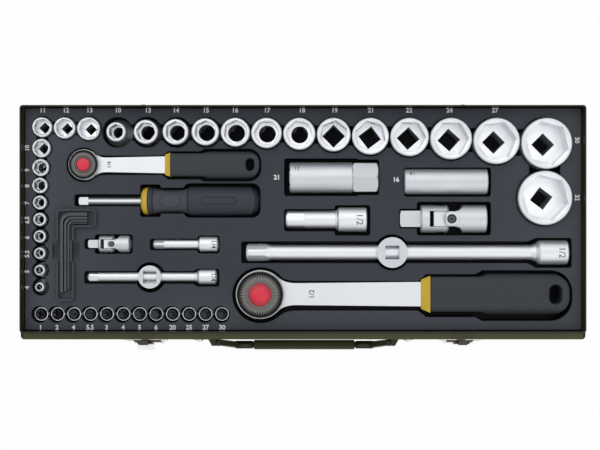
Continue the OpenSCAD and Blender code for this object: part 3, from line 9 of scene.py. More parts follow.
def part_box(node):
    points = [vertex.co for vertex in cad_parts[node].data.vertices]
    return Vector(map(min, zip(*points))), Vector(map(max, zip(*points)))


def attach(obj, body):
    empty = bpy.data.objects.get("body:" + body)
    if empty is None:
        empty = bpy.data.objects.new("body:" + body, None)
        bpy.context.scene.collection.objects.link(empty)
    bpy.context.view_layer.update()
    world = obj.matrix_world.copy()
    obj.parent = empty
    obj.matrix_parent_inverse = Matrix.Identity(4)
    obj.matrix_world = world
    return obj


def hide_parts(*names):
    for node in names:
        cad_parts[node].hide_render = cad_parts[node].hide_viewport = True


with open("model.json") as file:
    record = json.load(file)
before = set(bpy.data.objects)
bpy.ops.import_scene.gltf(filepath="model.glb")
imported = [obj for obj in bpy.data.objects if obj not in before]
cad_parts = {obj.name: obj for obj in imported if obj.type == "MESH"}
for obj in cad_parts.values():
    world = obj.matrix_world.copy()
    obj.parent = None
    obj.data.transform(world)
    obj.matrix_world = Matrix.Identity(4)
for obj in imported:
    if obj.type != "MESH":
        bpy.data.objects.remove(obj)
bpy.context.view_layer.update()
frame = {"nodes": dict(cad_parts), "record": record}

# ---- The view, the light and the white table ----
# A camera straight above the open case, a large soft lamp above it and a white room.
# The table is a sheet of white paper that shows only the shadow under the case.

camera = bpy.data.objects.new("camera", bpy.data.cameras.new("camera"))
camera.location = (0.021, -0.0078, 0.851)
camera.data.lens = 61.86
camera.data.sensor_width = 36
camera.data.shift_x = -0.05
camera.data.shift_y = 0.0067
camera.data.clip_start = 0.01
bpy.context.scene.collection.objects.link(camera)
bpy.context.scene.camera = camera
bpy.context.scene.view_settings.view_transform = "Standard"

# Both lamps point at the middle of the tray
lamp_aim = (0, 0, 0.03)


def lamp(name, place, size, power):
    data = bpy.data.lights.new(name, "AREA")
    data.shape = "RECTANGLE"
    data.size, data.size_y = size
    data.energy = power
    item = bpy.data.objects.new(name, data)
    item.location = place
    item.rotation_euler = (Vector(lamp_aim) - Vector(place)).to_track_quat("-Z", "Y").to_euler()
    bpy.context.scene.collection.objects.link(item)


lamp("window", (-0.35, 0.75, 1.25), (2.0, 1.4), 8)
lamp("fill", (0.55, -0.6, 1.1), (1.5, 1.1), 3)

world = bpy.data.worlds.new("white room")
bpy.context.scene.world = world
world.use_nodes = True
room = world.node_tree
room.nodes["Background"].inputs["Color"].default_value = (1, 1, 1, 1)
# The room is white to look at and in the chrome, and lights the case at this share of that
room_light = 0.5
seen = room.nodes.new("ShaderNodeLightPath")
either = room.nodes.new("ShaderNodeMath")
either.operation = "MAXIMUM"
room.links.new(seen.outputs["Is Camera Ray"], either.inputs[0])
room.links.new(seen.outputs["Is Glossy Ray"], either.inputs[1])
level = room.nodes.new("ShaderNodeMapRange")
level.inputs["To Min"].default_value = room_light
level.inputs["To Max"].default_value = 1.0
room.links.new(either.outputs[0], level.inputs["Value"])
room.links.new(level.outputs["Result"], room.nodes["Background"].inputs["Strength"])


class Value:
    """A number or colour on its way through a material, to be reckoned with in plain arithmetic."""

    def __init__(self, look, socket):
        self.look, self.socket = look, socket

    def _math(self, operation, a, b=0.0):
        return self.look.node("ShaderNodeMath", {"operation": operation}, (a, b))

    def __add__(self, other): return self._math("ADD", self, other)
    def __radd__(self, other): return self._math("ADD", other, self)
    def __sub__(self, other): return self._math("SUBTRACT", self, other)
    def __rsub__(self, other): return self._math("SUBTRACT", other, self)
    def __mul__(self, other): return self._math("MULTIPLY", self, other)
    def __rmul__(self, other): return self._math("MULTIPLY", other, self)
    def __truediv__(self, other): return self._math("DIVIDE", self, other)
    def __neg__(self): return self._math("MULTIPLY", self, -1.0)
    def __abs__(self): return self._math("ABSOLUTE", self)
    def __mod__(self, other): return self._math("FLOORED_MODULO", self, other)
    def root(self): return self._math("SQRT", self)
    def least(self, other): return self._math("MINIMUM", self, other)
    def most(self, other): return self._math("MAXIMUM", self, other)
    def clamp(self): return self.most(0.0).least(1.0)

    def step(self, width):
        """0 where the value is under 0, 1 where it is over the width, and a ramp between."""
        return (self / width).clamp()

    def line(self, width):
        """1 where the value is near 0, gone at half the width."""
        return (1.0 - abs(self) / (width / 2)).clamp()

    def out(self, name):
        return Value(self.look, self.socket.node.outputs[name])


class Look:
    """A finish: one Principled surface and the nodes that feed it."""

    def __init__(self, name, **flat):
        self.material = bpy.data.materials.new(name)
        self.material.use_nodes = True
        self.tree = self.material.node_tree
        self.surface = self.tree.nodes["Principled BSDF"]
        for key, value in flat.items():
            self.set(key, value)

    def node(self, kind, settings=None, inputs=()):
        made = self.tree.nodes.new(kind)
        for key, value in (settings or {}).items():
            setattr(made, key, value)
        pairs = inputs.items() if isinstance(inputs, dict) else enumerate(inputs)
        for key, value in pairs:
            self.feed(made.inputs[key], value)
        return Value(self, next(o for o in made.outputs if o.enabled))

    def feed(self, socket, value):
        if isinstance(value, Value):
            self.tree.links.new(value.socket, socket)
        elif isinstance(value, tuple) and len(value) == 3 and socket.type == "RGBA":
            socket.default_value = (*value, 1)
        else:
            socket.default_value = value

    def set(self, name, value):
        self.feed(self.surface.inputs[name.replace("_", " ")], value)

    def place(self, source="Object"):
        return self.node("ShaderNodeTexCoord").out(source)

    def axis(self, name, source="Object"):
        return self.node("ShaderNodeSeparateXYZ", None, (self.place(source),)).out(name)

    def noise(self, scale, detail=3.0, stretch=None):
        vector = self.place()
        if stretch:
            vector = self.node("ShaderNodeMapping", None, {"Vector": vector, "Scale": stretch})
        inputs = {"Vector": vector, "Scale": scale, "Detail": detail}
        return self.node("ShaderNodeTexNoise", None, inputs).out("Fac")

    def from_upright(self, x, y):
        """How far a point is from the upright line at the given place."""
        across, along = self.axis("X") - x, self.axis("Y") - y
        return (across * across + along * along).root()

    def colour(self):
        """The colour that the surface has so far."""
        return Value(self, self.surface.inputs["Base Color"].links[0].from_socket)

    def mix(self, share, first, second):
        """The first colour where the share is 0, the second where it is 1."""
        made = self.node("ShaderNodeMix", {"data_type": "RGBA"})
        sockets = [s for s in made.socket.node.inputs if s.enabled]
        for socket, value in zip(sockets, (share, first, second)):
            self.feed(socket, value)
        return made

    def relief(self, height, depth, edge=0.0):
        """Bump of the given depth, and edges that look rounded to the radius in edge."""
        inputs = {"Height": height, "Distance": depth, "Strength": 1.0}
        if edge:
            inputs["Normal"] = self.node("ShaderNodeBevel", {"samples": 6}, {"Radius": edge})
        self.set("Normal", self.node("ShaderNodeBump", None, inputs))


# Where it is seen, the paper glows by itself for this share, and takes the shadow with the rest
paper_glow = 0.97
paper = Look("table paper", Roughness=0.9)
paper_light = paper.node("ShaderNodeEmission", None, {"Color": (1, 1, 1), "Strength": 1.0})
paper_path = paper.node("ShaderNodeLightPath")
paper.set("Base Color", (0.9, 0.9, 0.9))
paper_mix = paper.tree.nodes.new("ShaderNodeMixShader")
paper.tree.links.new(paper.surface.outputs[0], paper_mix.inputs[1])
paper.tree.links.new(paper_light.socket, paper_mix.inputs[2])
paper_seen = (paper_path.out("Is Camera Ray") + paper_path.out("Is Glossy Ray")).clamp()
paper.feed(paper_mix.inputs[0], paper_seen * paper_glow)
paper.tree.links.new(paper_mix.outputs[0], paper.tree.nodes["Material Output"].inputs["Surface"])
paper_half = 3
floor_mesh = bpy.data.meshes.new("floor")
floor_mesh.from_pydata([(x * paper_half, y * paper_half, 0) for x, y in ((-1, -1), (1, -1), (1, 1), (-1, 1))],
                       [], [(0, 1, 2, 3)])
floor_mesh.materials.append(paper.material)
floor = bpy.data.objects.new("floor", floor_mesh)
bpy.context.scene.collection.objects.link(floor)

# ---- The case: base and lid ----
# Pressed from 1 mm sheet steel, welded at the corners and sprayed in olive enamel. The lid has been
# lifted off and lies turned over under the base.

body_of = {node: body for body, nodes in frame["record"]["behaviour"]["bodies"].items() for node in nodes}


def add_piece(name, mesh, node, material, hides=True):
    """A finished mesh that rides with a node's body, and stands for the node if it hides it."""
    mesh.materials.clear()
    mesh.materials.append(material)
    piece = bpy.data.objects.new(name, mesh)
    bpy.context.scene.collection.objects.link(piece)
    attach(piece, body_of[node])
    if hides:
        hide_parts(node)
    return piece


def joined(node, crease=32):
    """The node's mesh with its triangles joined up, smooth over round faces and crisp at its edges."""
    mesh = frame["nodes"][node].data.copy()
    work = bmesh.new()
    work.from_mesh(mesh)
    bmesh.ops.remove_doubles(work, verts=work.verts, dist=2e-6)
    for face in work.faces:
        face.smooth = True
    for edge in work.edges:
        edge.smooth = len(edge.link_faces) == 2 and edge.calc_face_angle(0) < math.radians(crease)
    work.to_mesh(mesh)
    work.free()
    if mesh.attributes.get("custom_normal"):
        mesh.attributes.remove(mesh.attributes["custom_normal"])
    return mesh


def dress(node, look, crease=32):
    return add_piece(node + "_skin", joined(node, crease), node, look.material)


enamel = Look("olive enamel", Coat_Weight=0.1, Coat_Roughness=0.2, Specular_IOR_Level=0.3)
orange_peel = enamel.noise(900.0, 2.0)
enamel_cloud = enamel.noise(14.0, 4.0)
olive = enamel.mix(enamel_cloud, (0.041, 0.048, 0.010), (0.057, 0.065, 0.017))
# The ledges' height under the rim, where the side and back ledges begin, and the front ledge's crease
rim_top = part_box("base_shell")[1][2]
ledge_drop, side_ledge_x, back_ledge_y, crease_y = 0.0057, 0.2180, 0.0870, -0.0897
# Two patches of painted shade lie on the ledge under the latches' claws: how far to each side, half as wide
# as this, and from here forwards
claw_x, claw_half, claw_y = 0.125, 0.0096, -0.0885
case_x, case_y, case_z = enamel.axis("X"), enamel.axis("Y"), enamel.axis("Z")
inward = (-(case_x * enamel.axis("X", "Normal")) - case_y * enamel.axis("Y", "Normal") - 0.05).step(0.02)
upward = (enamel.axis("Z", "Normal") - 0.5).step(0.2)
outer_strip = (abs(case_x) - side_ledge_x).step(0.0004).most((case_y - back_ledge_y).step(0.0004))
over_ledge = (case_z - rim_top + ledge_drop).step(0.0003)
rim_edge = (case_z - rim_top + 0.0006).step(0.0002)
# Painted shade: above the ledges, the inner walls, the side and back ledges' tops and the rim's top edge are
# painted nearly black
painted_rim_shade = over_ledge * inward.most(upward * outer_strip).most(rim_edge)
# Painted shade, at about half strength, on the front ledge behind its crease
crease_shade = (case_y - crease_y).step(0.0016) * over_ledge * 0.55
claw_shade = (claw_half - abs(abs(case_x) - claw_x)).step(0.0008) * (claw_y - case_y).step(0.0004)
claw_shade = claw_shade * over_ledge * 0.35
ledge = enamel.mix(crease_shade.most(claw_shade), olive, (0.012, 0.015, 0.006))
enamel.set("Base Color", enamel.mix(painted_rim_shade, ledge, (0.006, 0.007, 0.003)))
enamel.set("Roughness", 0.34 + enamel_cloud * 0.12)
enamel.relief(orange_peel, 0.00002, 0.0007)
for node in ("base_shell", "lid_shell"):
    dress(node, enamel)

# ---- The tray with its printed numbers ----
# Vacuum-formed from dark grey plastic with a fine leather grain, its pockets drawn down to the case's
# floor. The sizes are printed beside the pockets in white ink.

# The tray's stiffening bead stands this much over its face. Its ends and its front are paler
bead_height, pale_end_x, pale_front_y = 0.0032, 0.13, -0.045
tray_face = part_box("tray")[1][2] - bead_height
tray_look = Look("grained tray plastic", Specular_IOR_Level=0.2)
grain = tray_look.noise(1500.0, 2.0)
tray_cloud = tray_look.noise(9.0, 3.0)
tray_top = tray_look.mix(tray_cloud, (0.033, 0.039, 0.051), (0.047, 0.052, 0.066))
# Painted shade: the tray is painted nearly black deeper down in its pockets
depth = (tray_face - 0.0006 - tray_look.axis("Z")).step(0.006)
pale_ends = (abs(tray_look.axis("X")) - pale_end_x).step(0.09) * 0.5
pale = pale_ends.most((pale_front_y - tray_look.axis("Y")).step(0.03) * 0.36)
tray_face_colour = tray_look.mix(pale, tray_top, (0.082, 0.090, 0.104))
tray_look.set("Base Color", tray_look.mix(depth, tray_face_colour, (0.003, 0.003, 0.005)))
tray_look.set("Roughness", 0.5 + grain * 0.14)
tray_look.relief(grain, 0.00004, 0.0006)
dress("tray", tray_look)


def printed(words, height, place, turn=0.0, bold=0.00016):
    """Words as a thin flat print that faces up, centred on a place, with capitals of the given height."""
    size_over_capitals = 1.42
    text = bpy.data.curves.new("print", "FONT")
    text.body = words
    text.size = height * size_over_capitals
    text.offset = bold
    text.extrude = 0.00002
    text.resolution_u = 3
    text.align_x, text.align_y = "CENTER", "CENTER"
    holder = bpy.data.objects.new("print", text)
    bpy.context.scene.collection.objects.link(holder)
    mesh = bpy.data.meshes.new_from_object(holder.evaluated_get(bpy.context.evaluated_depsgraph_get()))
    bpy.data.objects.remove(holder)
    mesh.transform(Matrix.Translation(place) @ Matrix.Rotation(turn, 4, "Z"))
    return mesh


def merged(name, meshes):
    """One mesh of several, which are used up."""
    work = bmesh.new()
    for mesh in meshes:
        work.from_mesh(mesh)
        bpy.data.meshes.remove(mesh)
    result = bpy.data.meshes.new(name)
    work.to_mesh(result)
    work.free()
    return result


white_ink = Look("white ink", Roughness=0.55)
ink_wear = white_ink.noise(700.0, 2.0)
white_ink.set("Base Color", white_ink.mix(ink_wear, (0.84, 0.85, 0.88), (0.94, 0.95, 0.97)))

# Each number's place along its row, in millimetres
back_row = {-204.7: "11", -186.4: "12", -167.9: "13", -145.6: "10", -122.0: "13", -100.0: "14", -76.4: "15",
            -53.6: "16", -28.5: "17", -1.0: "18", 24.6: "19", 53.2: "21", 83.1: "22", 114.9: "24",
            150.6: "27"}
side_column = {55.8: "10", 38.5: "9", 26.0: "8", 12.6: "7", -0.7: "6.5", -14.5: "6", -27.4: "5.5",
               -41.2: "5", -53.8: "4"}
front_row = ["1", "2", "4", "5.5", "3", "4", "5", "6", "20", "25", "27", "30"]
front_first, front_pitch = -206.4, 12.97
back_y, side_x, front_y, right_x = 0.0853, -0.2168, -0.0852, 0.2150
figure, small_figure = 0.0035, 0.0033
ink_z = tray_face + 0.00004
numbers = [printed(word, figure, (x / 1000, back_y, ink_z)) for x, word in back_row.items()]
numbers += [printed(word, small_figure, (side_x, y / 1000, ink_z), math.pi / 2)
            for y, word in side_column.items()]
numbers += [printed(word, figure, ((front_first + front_pitch * i) / 1000, front_y, ink_z))
            for i, word in enumerate(front_row)]
numbers += [printed("30", figure, (right_x, 0.0621, ink_z), -math.pi / 2),
            printed("32", figure, (right_x, 0.0169, ink_z), -math.pi / 2),
            printed("21", figure, (-0.0207, 0.0327, ink_z)),
            printed("16", figure, (0.0729, 0.0309, ink_z))]
add_piece("tray_numbers", merged("tray_numbers", numbers), "tray", white_ink.material, hides=False)

# ---- The handle ----
# A flat steel strap in olive enamel, hung by two pins in riveted eyes, with a moulded olive grip pushed
# over its straight bar. It hangs down in front of the case.

# The strap and its brackets carry an olive painted darker than the case's, as painted shade
strap_look = Look("olive enamel with painted shade", Roughness=0.42, Specular_IOR_Level=0.3)
strap_cloud = strap_look.noise(60.0, 3.0)
strap_look.set("Base Color", strap_look.mix(strap_cloud, (0.016, 0.019, 0.004), (0.030, 0.034, 0.009)))
strap_look.relief(strap_look.noise(900.0, 2.0), 0.00002, 0.0005)
for node in ("handle_bail", "handle_brackets"):
    dress(node, strap_look)


def moulded(node, voxel, rounds, look):
    """The node cast anew as one soft-edged moulding."""
    blank = bpy.data.objects.new("blank", joined(node))
    bpy.context.scene.collection.objects.link(blank)
    remesh = blank.modifiers.new("cast", "REMESH")
    remesh.mode = "VOXEL"
    remesh.voxel_size = voxel
    remesh.use_smooth_shade = True
    smooth = blank.modifiers.new("soften", "SMOOTH")
    smooth.iterations = rounds
    smooth.factor = 0.5
    cast = bpy.data.meshes.new_from_object(blank.evaluated_get(bpy.context.evaluated_depsgraph_get()))
    bpy.data.objects.remove(blank)
    return add_piece(node + "_skin", cast, node, look.material)


handle_look = Look("olive handle plastic", Specular_IOR_Level=0.25)
handle_cloud = handle_look.noise(30.0, 3.0)
handle_look.set("Base Color", handle_look.mix(handle_cloud, (0.022, 0.024, 0.006), (0.036, 0.040, 0.012)))
handle_look.set("Roughness", 0.45 + handle_cloud * 0.1)
handle_look.relief(handle_look.noise(1300.0, 2.0), 0.00003)
moulded("handle_grip", 0.0006, 6, handle_look)

# A short thick sleeve on the strap at each end of the grip, square to the hanging strap
sleeve_size, sleeve_round, sleeve_gap, strap_lean = (0.0164, 0.0060, 0.0070), 0.0012, 0.0080, -12
low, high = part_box("handle_grip")
for side in (-1, 1):
    work = bmesh.new()
    bmesh.ops.create_cube(work, size=1.0, matrix=Matrix.Diagonal((*sleeve_size, 1.0)))
    bmesh.ops.bevel(work, geom=work.edges, offset=sleeve_round, segments=3, affect="EDGES")
    for face in work.faces:
        face.smooth = True
    sleeve = bpy.data.meshes.new("sleeve")
    work.to_mesh(sleeve)
    work.free()
    centre = (side * (high[0] + sleeve_gap), (low[1] + high[1]) / 2, (low[2] + high[2]) / 2)
    sleeve.transform(Matrix.Translation(centre) @ Matrix.Rotation(math.radians(strap_lean), 4, "X"))
    add_piece("handle_sleeve", sleeve, "handle_grip", strap_look.material, hides=False)

# ---- The latches and rivets ----
# Nickel-plated spring steel: a plate with two domed rivets, and a bulged lever with a thumb tongue that
# turns on a pin between the plate's ears.

nickel = Look("nickel plate", Metallic=1.0)
nickel_cloud = nickel.noise(180.0, 4.0)
nickel.set("Base Color", nickel.mix(nickel_cloud, (0.62, 0.60, 0.57), (0.78, 0.77, 0.75)))
nickel.set("Roughness", 0.22 + nickel_cloud * 0.16)
nickel.relief(nickel.noise(2400.0, 2.0), 0.00001, 0.0003)
for node in ("latch_plates", "latch_springs", "case_rivets"):
    dress(node, nickel)

# The lever is bright behind and carries a dark painted reflection on its bulge, which begins at this Y
bulge_y = -0.0991
lever_look = Look("lever with painted reflection", Metallic=1.0)
bulge_reflection = (lever_look.axis("Y") - bulge_y).step(0.0002)
lever_cloud = lever_look.noise(200.0, 3.0)
lever_look.set("Base Color", lever_look.mix(bulge_reflection, (0.80, 0.79, 0.77), (0.060, 0.050, 0.040)))
lever_look.set("Roughness", 0.25 + lever_cloud * 0.15)
lever_look.relief(lever_look.noise(2400.0, 2.0), 0.00001, 0.0003)

# The bulge is closed at its top by a thin plate, cut to the bulge's arc: its chord, half width and sag
chord, half, sag, cap_z, cap_thick, steps = -0.0955, 0.0098, 0.0033, 0.0367, 0.0006, 12
radius = (half * half + sag * sag) / (2 * sag)
span = math.asin(half / radius)
for node in ("latch_lever_left", "latch_lever_right"):
    dress(node, lever_look)
    low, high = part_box(node)
    middle = (low[0] + high[0]) / 2
    angles = [span * i / steps for i in range(-steps, steps + 1)]
    arc = [(middle + radius * math.sin(a), chord - sag + radius - radius * math.cos(a)) for a in angles]
    work = bmesh.new()
    for z in (cap_z, cap_z + cap_thick):
        work.faces.new([work.verts.new((x, y, z)) for x, y in arc])
    bmesh.ops.bridge_loops(work, edges=work.edges)
    bmesh.ops.recalc_face_normals(work, faces=work.faces)
    cap = bpy.data.meshes.new("cap")
    work.to_mesh(cap)
    work.free()
    add_piece(node + "_cap", cap, node, lever_look.material, hides=False)

# ---- Chrome for the tools ----
# Forged chrome-vanadium steel, tumbled and plated to a satin shine, so its reflections are soft and its
# edges carry a fine bright line.

chrome_light, chrome_dark = (0.70, 0.72, 0.75), (0.63, 0.65, 0.68)
grain_along, grain_upright = (0.03, 1, 1), (1, 1, 0.12)


def satin(name, light, dark, rough, stretch=(1, 1, 1), metal=1.0):
    """A brushed metal that is cloudy between two colours. The stretch gives its grain a direction."""
    look = Look(name, Metallic=metal)
    brush = look.noise(420.0, 3.0, stretch)
    cloud = look.noise(60.0, 3.0)
    look.set("Base Color", look.mix(cloud, dark, light))
    look.set("Roughness", rough + brush * 0.12)
    look.relief(brush, 0.000006, 0.00035)
    return look


def mark_inside(mesh):
    """Give each face the value "inside": 1 on a wall that looks towards its own solid's upright axis."""
    work = bmesh.new()
    work.from_mesh(mesh)
    layer = work.faces.layers.float.new("inside")
    waiting = set(work.faces)
    while waiting:
        island = [waiting.pop()]
        for face in island:
            for edge in face.edges:
                for beside in edge.link_faces:
                    if beside in waiting:
                        waiting.remove(beside)
                        island.append(beside)
        xs = [vertex.co.x for face in island for vertex in face.verts]
        ys = [vertex.co.y for face in island for vertex in face.verts]
        middle = Vector(((min(xs) + max(xs)) / 2, (min(ys) + max(ys)) / 2))
        for face in island:
            towards = middle - face.calc_center_median().xy
            face[layer] = 1.0 if face.normal.xy.dot(towards) > 1e-5 else 0.0
    work.to_mesh(mesh)
    work.free()


def below(look, height):
    """Below a height, flat floors get painted light and sloped walls painted shade, nearly black, fullest on
    a bore's inner walls.
    """
    upward = look.axis("Z", "Normal")
    deep = (height - look.axis("Z")).step(0.0005)
    inside = look.node("ShaderNodeAttribute", {"attribute_name": "inside"}).out("Fac")
    painted_floor_light = (upward - 0.95).step(0.02) * deep
    painted_shoulder_shade = (upward - 0.08).step(0.02) * (0.94 - upward).step(0.02) * deep * (inside * 0.45 + 0.55)
    lit = look.mix(painted_floor_light, look.colour(), (0.93, 0.95, 0.98))
    look.set("Base Color", look.mix(painted_shoulder_shade, lit, (0.035, 0.036, 0.040)))


# The extensions and the blade, with flats and tapers that keep their edges
flats_crease = 14
chrome_x = satin("satin chrome along the tool", chrome_light, chrome_dark, 0.34, grain_along, metal=0.7)
for node in ("half_extension_long", "half_extension_short", "quarter_extension_long",
             "quarter_extension_short", "driver_blade"):
    dress(node, chrome_x, flats_crease)

# The joints, the sliding heads and the spark plug sockets are duller
dull_chrome = satin("dull chrome", (0.57, 0.60, 0.63), (0.50, 0.52, 0.55), 0.36, grain_along, metal=0.7)
for node in ("half_joint_fork", "half_joint_yoke", "quarter_joint_fork", "quarter_joint_yoke",
             "half_sliding_head", "quarter_sliding_head", "plug_socket", "slim_plug_socket"):
    dress(node, dull_chrome, flats_crease)

# The bit sockets' bores are painted dark as painted shade: they stand in a row, so one round mask is repeated
# along it
bit_gaps, bore_share = 11, 0.40
bit_chrome = satin("satin chrome of the bit sockets", chrome_light, chrome_dark, 0.30, grain_upright,
                   metal=0.75)
low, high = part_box("bit_sockets")
bit_wide = high[1] - low[1]
bit_pitch = (high[0] - low[0] - bit_wide) / bit_gaps
from_first = bit_chrome.axis("X") - low[0] + 2 * bit_pitch - (bit_wide - bit_pitch) / 2
from_middle = from_first % bit_pitch - bit_pitch / 2
bit_across = bit_chrome.axis("Y") - (low[1] + high[1]) / 2
from_bore = (from_middle * from_middle + bit_across * bit_across).root()
painted_bore_shade = (bit_wide * bore_share - from_bore).step(0.0002)
bit_chrome.set("Base Color", bit_chrome.mix(painted_bore_shade, bit_chrome.colour(), (0.030, 0.034, 0.042)))
dress("bit_sockets", bit_chrome)

# The sockets, with painted light on their floors and painted shade on their sloped walls from a little below
# their mouths
half_chrome = satin("satin chrome of the large sockets", chrome_light, chrome_dark, 0.30, grain_upright,
                    metal=0.75)
below(half_chrome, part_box("half_socket_32")[1][2] - 0.002)
quarter_chrome = satin("satin chrome of the small sockets", chrome_light, chrome_dark, 0.30, grain_upright,
                       metal=0.75)
below(quarter_chrome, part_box("quarter_sockets")[1][2] - 0.0015)
for node in frame["nodes"]:
    if node.startswith("half_socket_") or node == "quarter_sockets":
        piece = dress(node, half_chrome if node.startswith("half") else quarter_chrome)
        mark_inside(piece.data)

# The pins' blackened ends, each with a fine turned ring: the upright pin's place, and the joint's diameter
end_share, ring_share, ring_line = 0.36, 0.085, 0.0009
for node, pin_x, pin_y, pin_z, wide in (("half_joint_block", 0.1161, 0.0002, 0.036, 0.022),
                                        ("quarter_joint_block", -0.1498, -0.0195, 0.038, 0.0134)):
    look = satin("steel of " + node, chrome_light, chrome_dark, 0.30, metal=0.75)
    along, up = look.axis("Y") - pin_y, look.axis("Z") - pin_z
    pin_end = (abs(up).most(abs(along)) - wide * end_share).step(0.0002)
    turned_ring = (look.from_upright(pin_x, pin_y) - wide * ring_share).line(ring_line)
    dark_end = look.mix(turned_ring, (0.030, 0.033, 0.036), (0.16, 0.17, 0.18))
    look.set("Base Color", look.mix(pin_end, look.colour(), dark_end))
    dress(node, look)

# ---- The hexagon keys and the bits ----
# Keys bent from hexagon bar, clipped into their pocket, and bits ground from tool steel and pressed into
# their sockets. Both are left in the black oxide of hardening.

black_steel = satin("black oxide steel", (0.086, 0.091, 0.100), (0.050, 0.054, 0.061), 0.22)
dress("hex_keys", black_steel)
bit_steel = satin("dark bit steel", (0.040, 0.044, 0.054), (0.020, 0.022, 0.029), 0.3)
dress("bits", bit_steel)

# ---- The ratchets ----
# A forged head and shank, with a selector ring and a red release button on top, and a dark moulded grip
# pushed over the tang behind a yellow collar.

collar_look = Look("yellow plastic", Coat_Weight=0.1, Specular_IOR_Level=0.3)
collar_cloud = collar_look.noise(90.0, 3.0)
collar_look.set("Base Color", collar_look.mix(collar_cloud, (0.58, 0.385, 0.030), (0.70, 0.465, 0.040)))
collar_look.set("Roughness", 0.35 + collar_cloud * 0.1)
collar_look.relief(collar_look.noise(1500.0, 2.0), 0.00002, 0.0005)

grip_look = Look("dark grip plastic", Specular_IOR_Level=0.25)
grip_cloud = grip_look.noise(22.0, 3.0)
grip_look.set("Base Color", grip_look.mix(grip_cloud, (0.031, 0.037, 0.043), (0.042, 0.049, 0.056)))
grip_look.set("Roughness", 0.5 + grip_cloud * 0.12)
grip_look.relief(grip_look.noise(1600.0, 2.0), 0.00004)

drive_look = satin("grey phosphated steel", (0.16, 0.155, 0.15), (0.10, 0.098, 0.095), 0.36)


def knurl_tree(name):
    """A ring of equal ridges that stand on a circle and point outwards."""
    tree = bpy.data.node_groups.new(name, "GeometryNodeTree")
    tree.interface.new_socket("Geometry", in_out="OUTPUT", socket_type="NodeSocketGeometry")
    for label, kind in (("Radius", "NodeSocketFloat"), ("Ridges", "NodeSocketInt"),
                        ("Length", "NodeSocketFloat"), ("Width", "NodeSocketFloat"),
                        ("Height", "NodeSocketFloat"), ("Finish", "NodeSocketMaterial")):
        tree.interface.new_socket(label, in_out="INPUT", socket_type=kind)
    add, link = tree.nodes.new, tree.links.new
    values = add("NodeGroupInput").outputs
    circle = add("GeometryNodeMeshCircle")
    link(values["Ridges"], circle.inputs["Vertices"])
    link(values["Radius"], circle.inputs["Radius"])
    size = add("ShaderNodeCombineXYZ")
    link(values["Length"], size.inputs["X"])
    link(values["Width"], size.inputs["Y"])
    link(values["Height"], size.inputs["Z"])
    ridge = add("GeometryNodeMeshCube")
    link(size.outputs[0], ridge.inputs["Size"])
    turn = add("FunctionNodeAlignEulerToVector")
    turn.axis = "X"
    link(add("GeometryNodeInputPosition").outputs[0], turn.inputs["Vector"])
    spread = add("GeometryNodeInstanceOnPoints")
    link(circle.outputs["Mesh"], spread.inputs["Points"])
    link(ridge.outputs["Mesh"], spread.inputs["Instance"])
    link(turn.outputs[0], spread.inputs["Rotation"])
    real = add("GeometryNodeRealizeInstances")
    link(spread.outputs["Instances"], real.inputs["Geometry"])
    finish = add("GeometryNodeSetMaterial")
    link(real.outputs[0], finish.inputs["Geometry"])
    link(values["Finish"], finish.inputs["Material"])
    link(finish.outputs[0], add("NodeGroupOutput").inputs[0])
    return tree


def grown(tree, **values):
    """The plain mesh that a node tree makes with these values."""
    seed = bpy.data.objects.new("seed", bpy.data.meshes.new("seed"))
    bpy.context.scene.collection.objects.link(seed)
    modifier = seed.modifiers.new("grow", "NODES")
    modifier.node_group = tree
    for item in tree.interface.items_tree:
        if item.in_out == "INPUT" and item.name in values:
            modifier[item.identifier] = values[item.name]
    mesh = bpy.data.meshes.new_from_object(seed.evaluated_get(bpy.context.evaluated_depsgraph_get()))
    bpy.data.objects.remove(seed)
    return mesh


def turned(name, outline, centre):
    """A ring or disc turned about an upright line, from its outline of radius and height."""
    steps = 128
    work = bmesh.new()
    rings = [[work.verts.new((centre[0] + r * math.cos(a), centre[1] + r * math.sin(a), centre[2] + z))
              for a in (2 * math.pi * i / steps for i in range(steps))] for r, z in outline]
    for low, high in zip(rings, rings[1:] + rings[:1]):
        for i in range(steps):
            work.faces.new((low[i], low[(i + 1) % steps], high[(i + 1) % steps], high[i]))
    bmesh.ops.recalc_face_normals(work, faces=work.faces)
    for face in work.faces:
        face.smooth = True
    for edge in work.edges:
        edge.smooth = edge.calc_face_angle(0) < math.radians(25)
    mesh = bpy.data.meshes.new(name)
    work.to_mesh(mesh)
    work.free()
    return mesh


knurls = knurl_tree("knurl ring")
steel_ink = Look("dark etched mark", Roughness=0.5)
ink_cloud = steel_ink.noise(600.0, 2.0)
steel_ink.set("Base Color", steel_ink.mix(ink_cloud, (0.045, 0.045, 0.05), (0.085, 0.085, 0.09)))

# Each ratchet's own values. Edge is where its button's painted shade begins, over how much of its radius it
# deepens, and to what red.
# Band is the polished ring's inner and outer radius, as shares of the selector ring's.
ratchets = {
    "half": {"voxel": 0.0007, "edge": (0.45, 0.5, (0.40, 0.010, 0.025)), "band": (0.535, 0.73),
             "ridges": 72, "ridge_dark": 0.0, "bead": (0.01815, 0.01895), "head_top": 0.046,
             "shank_top": 0.041, "mark": "1/2", "mark_height": 0.0040, "mark_x": 0.0403},
    "quarter": {"voxel": 0.0005, "edge": (0.78, 0.12, (0.17, 0.005, 0.012)), "band": (0.60, 0.86),
                "ridges": 60, "ridge_dark": 0.2, "bead": (0.01135, 0.01190), "head_top": 0.045,
                "shank_top": 0.0415, "mark": "1/4", "mark_height": 0.0030, "mark_x": 0.0192}}

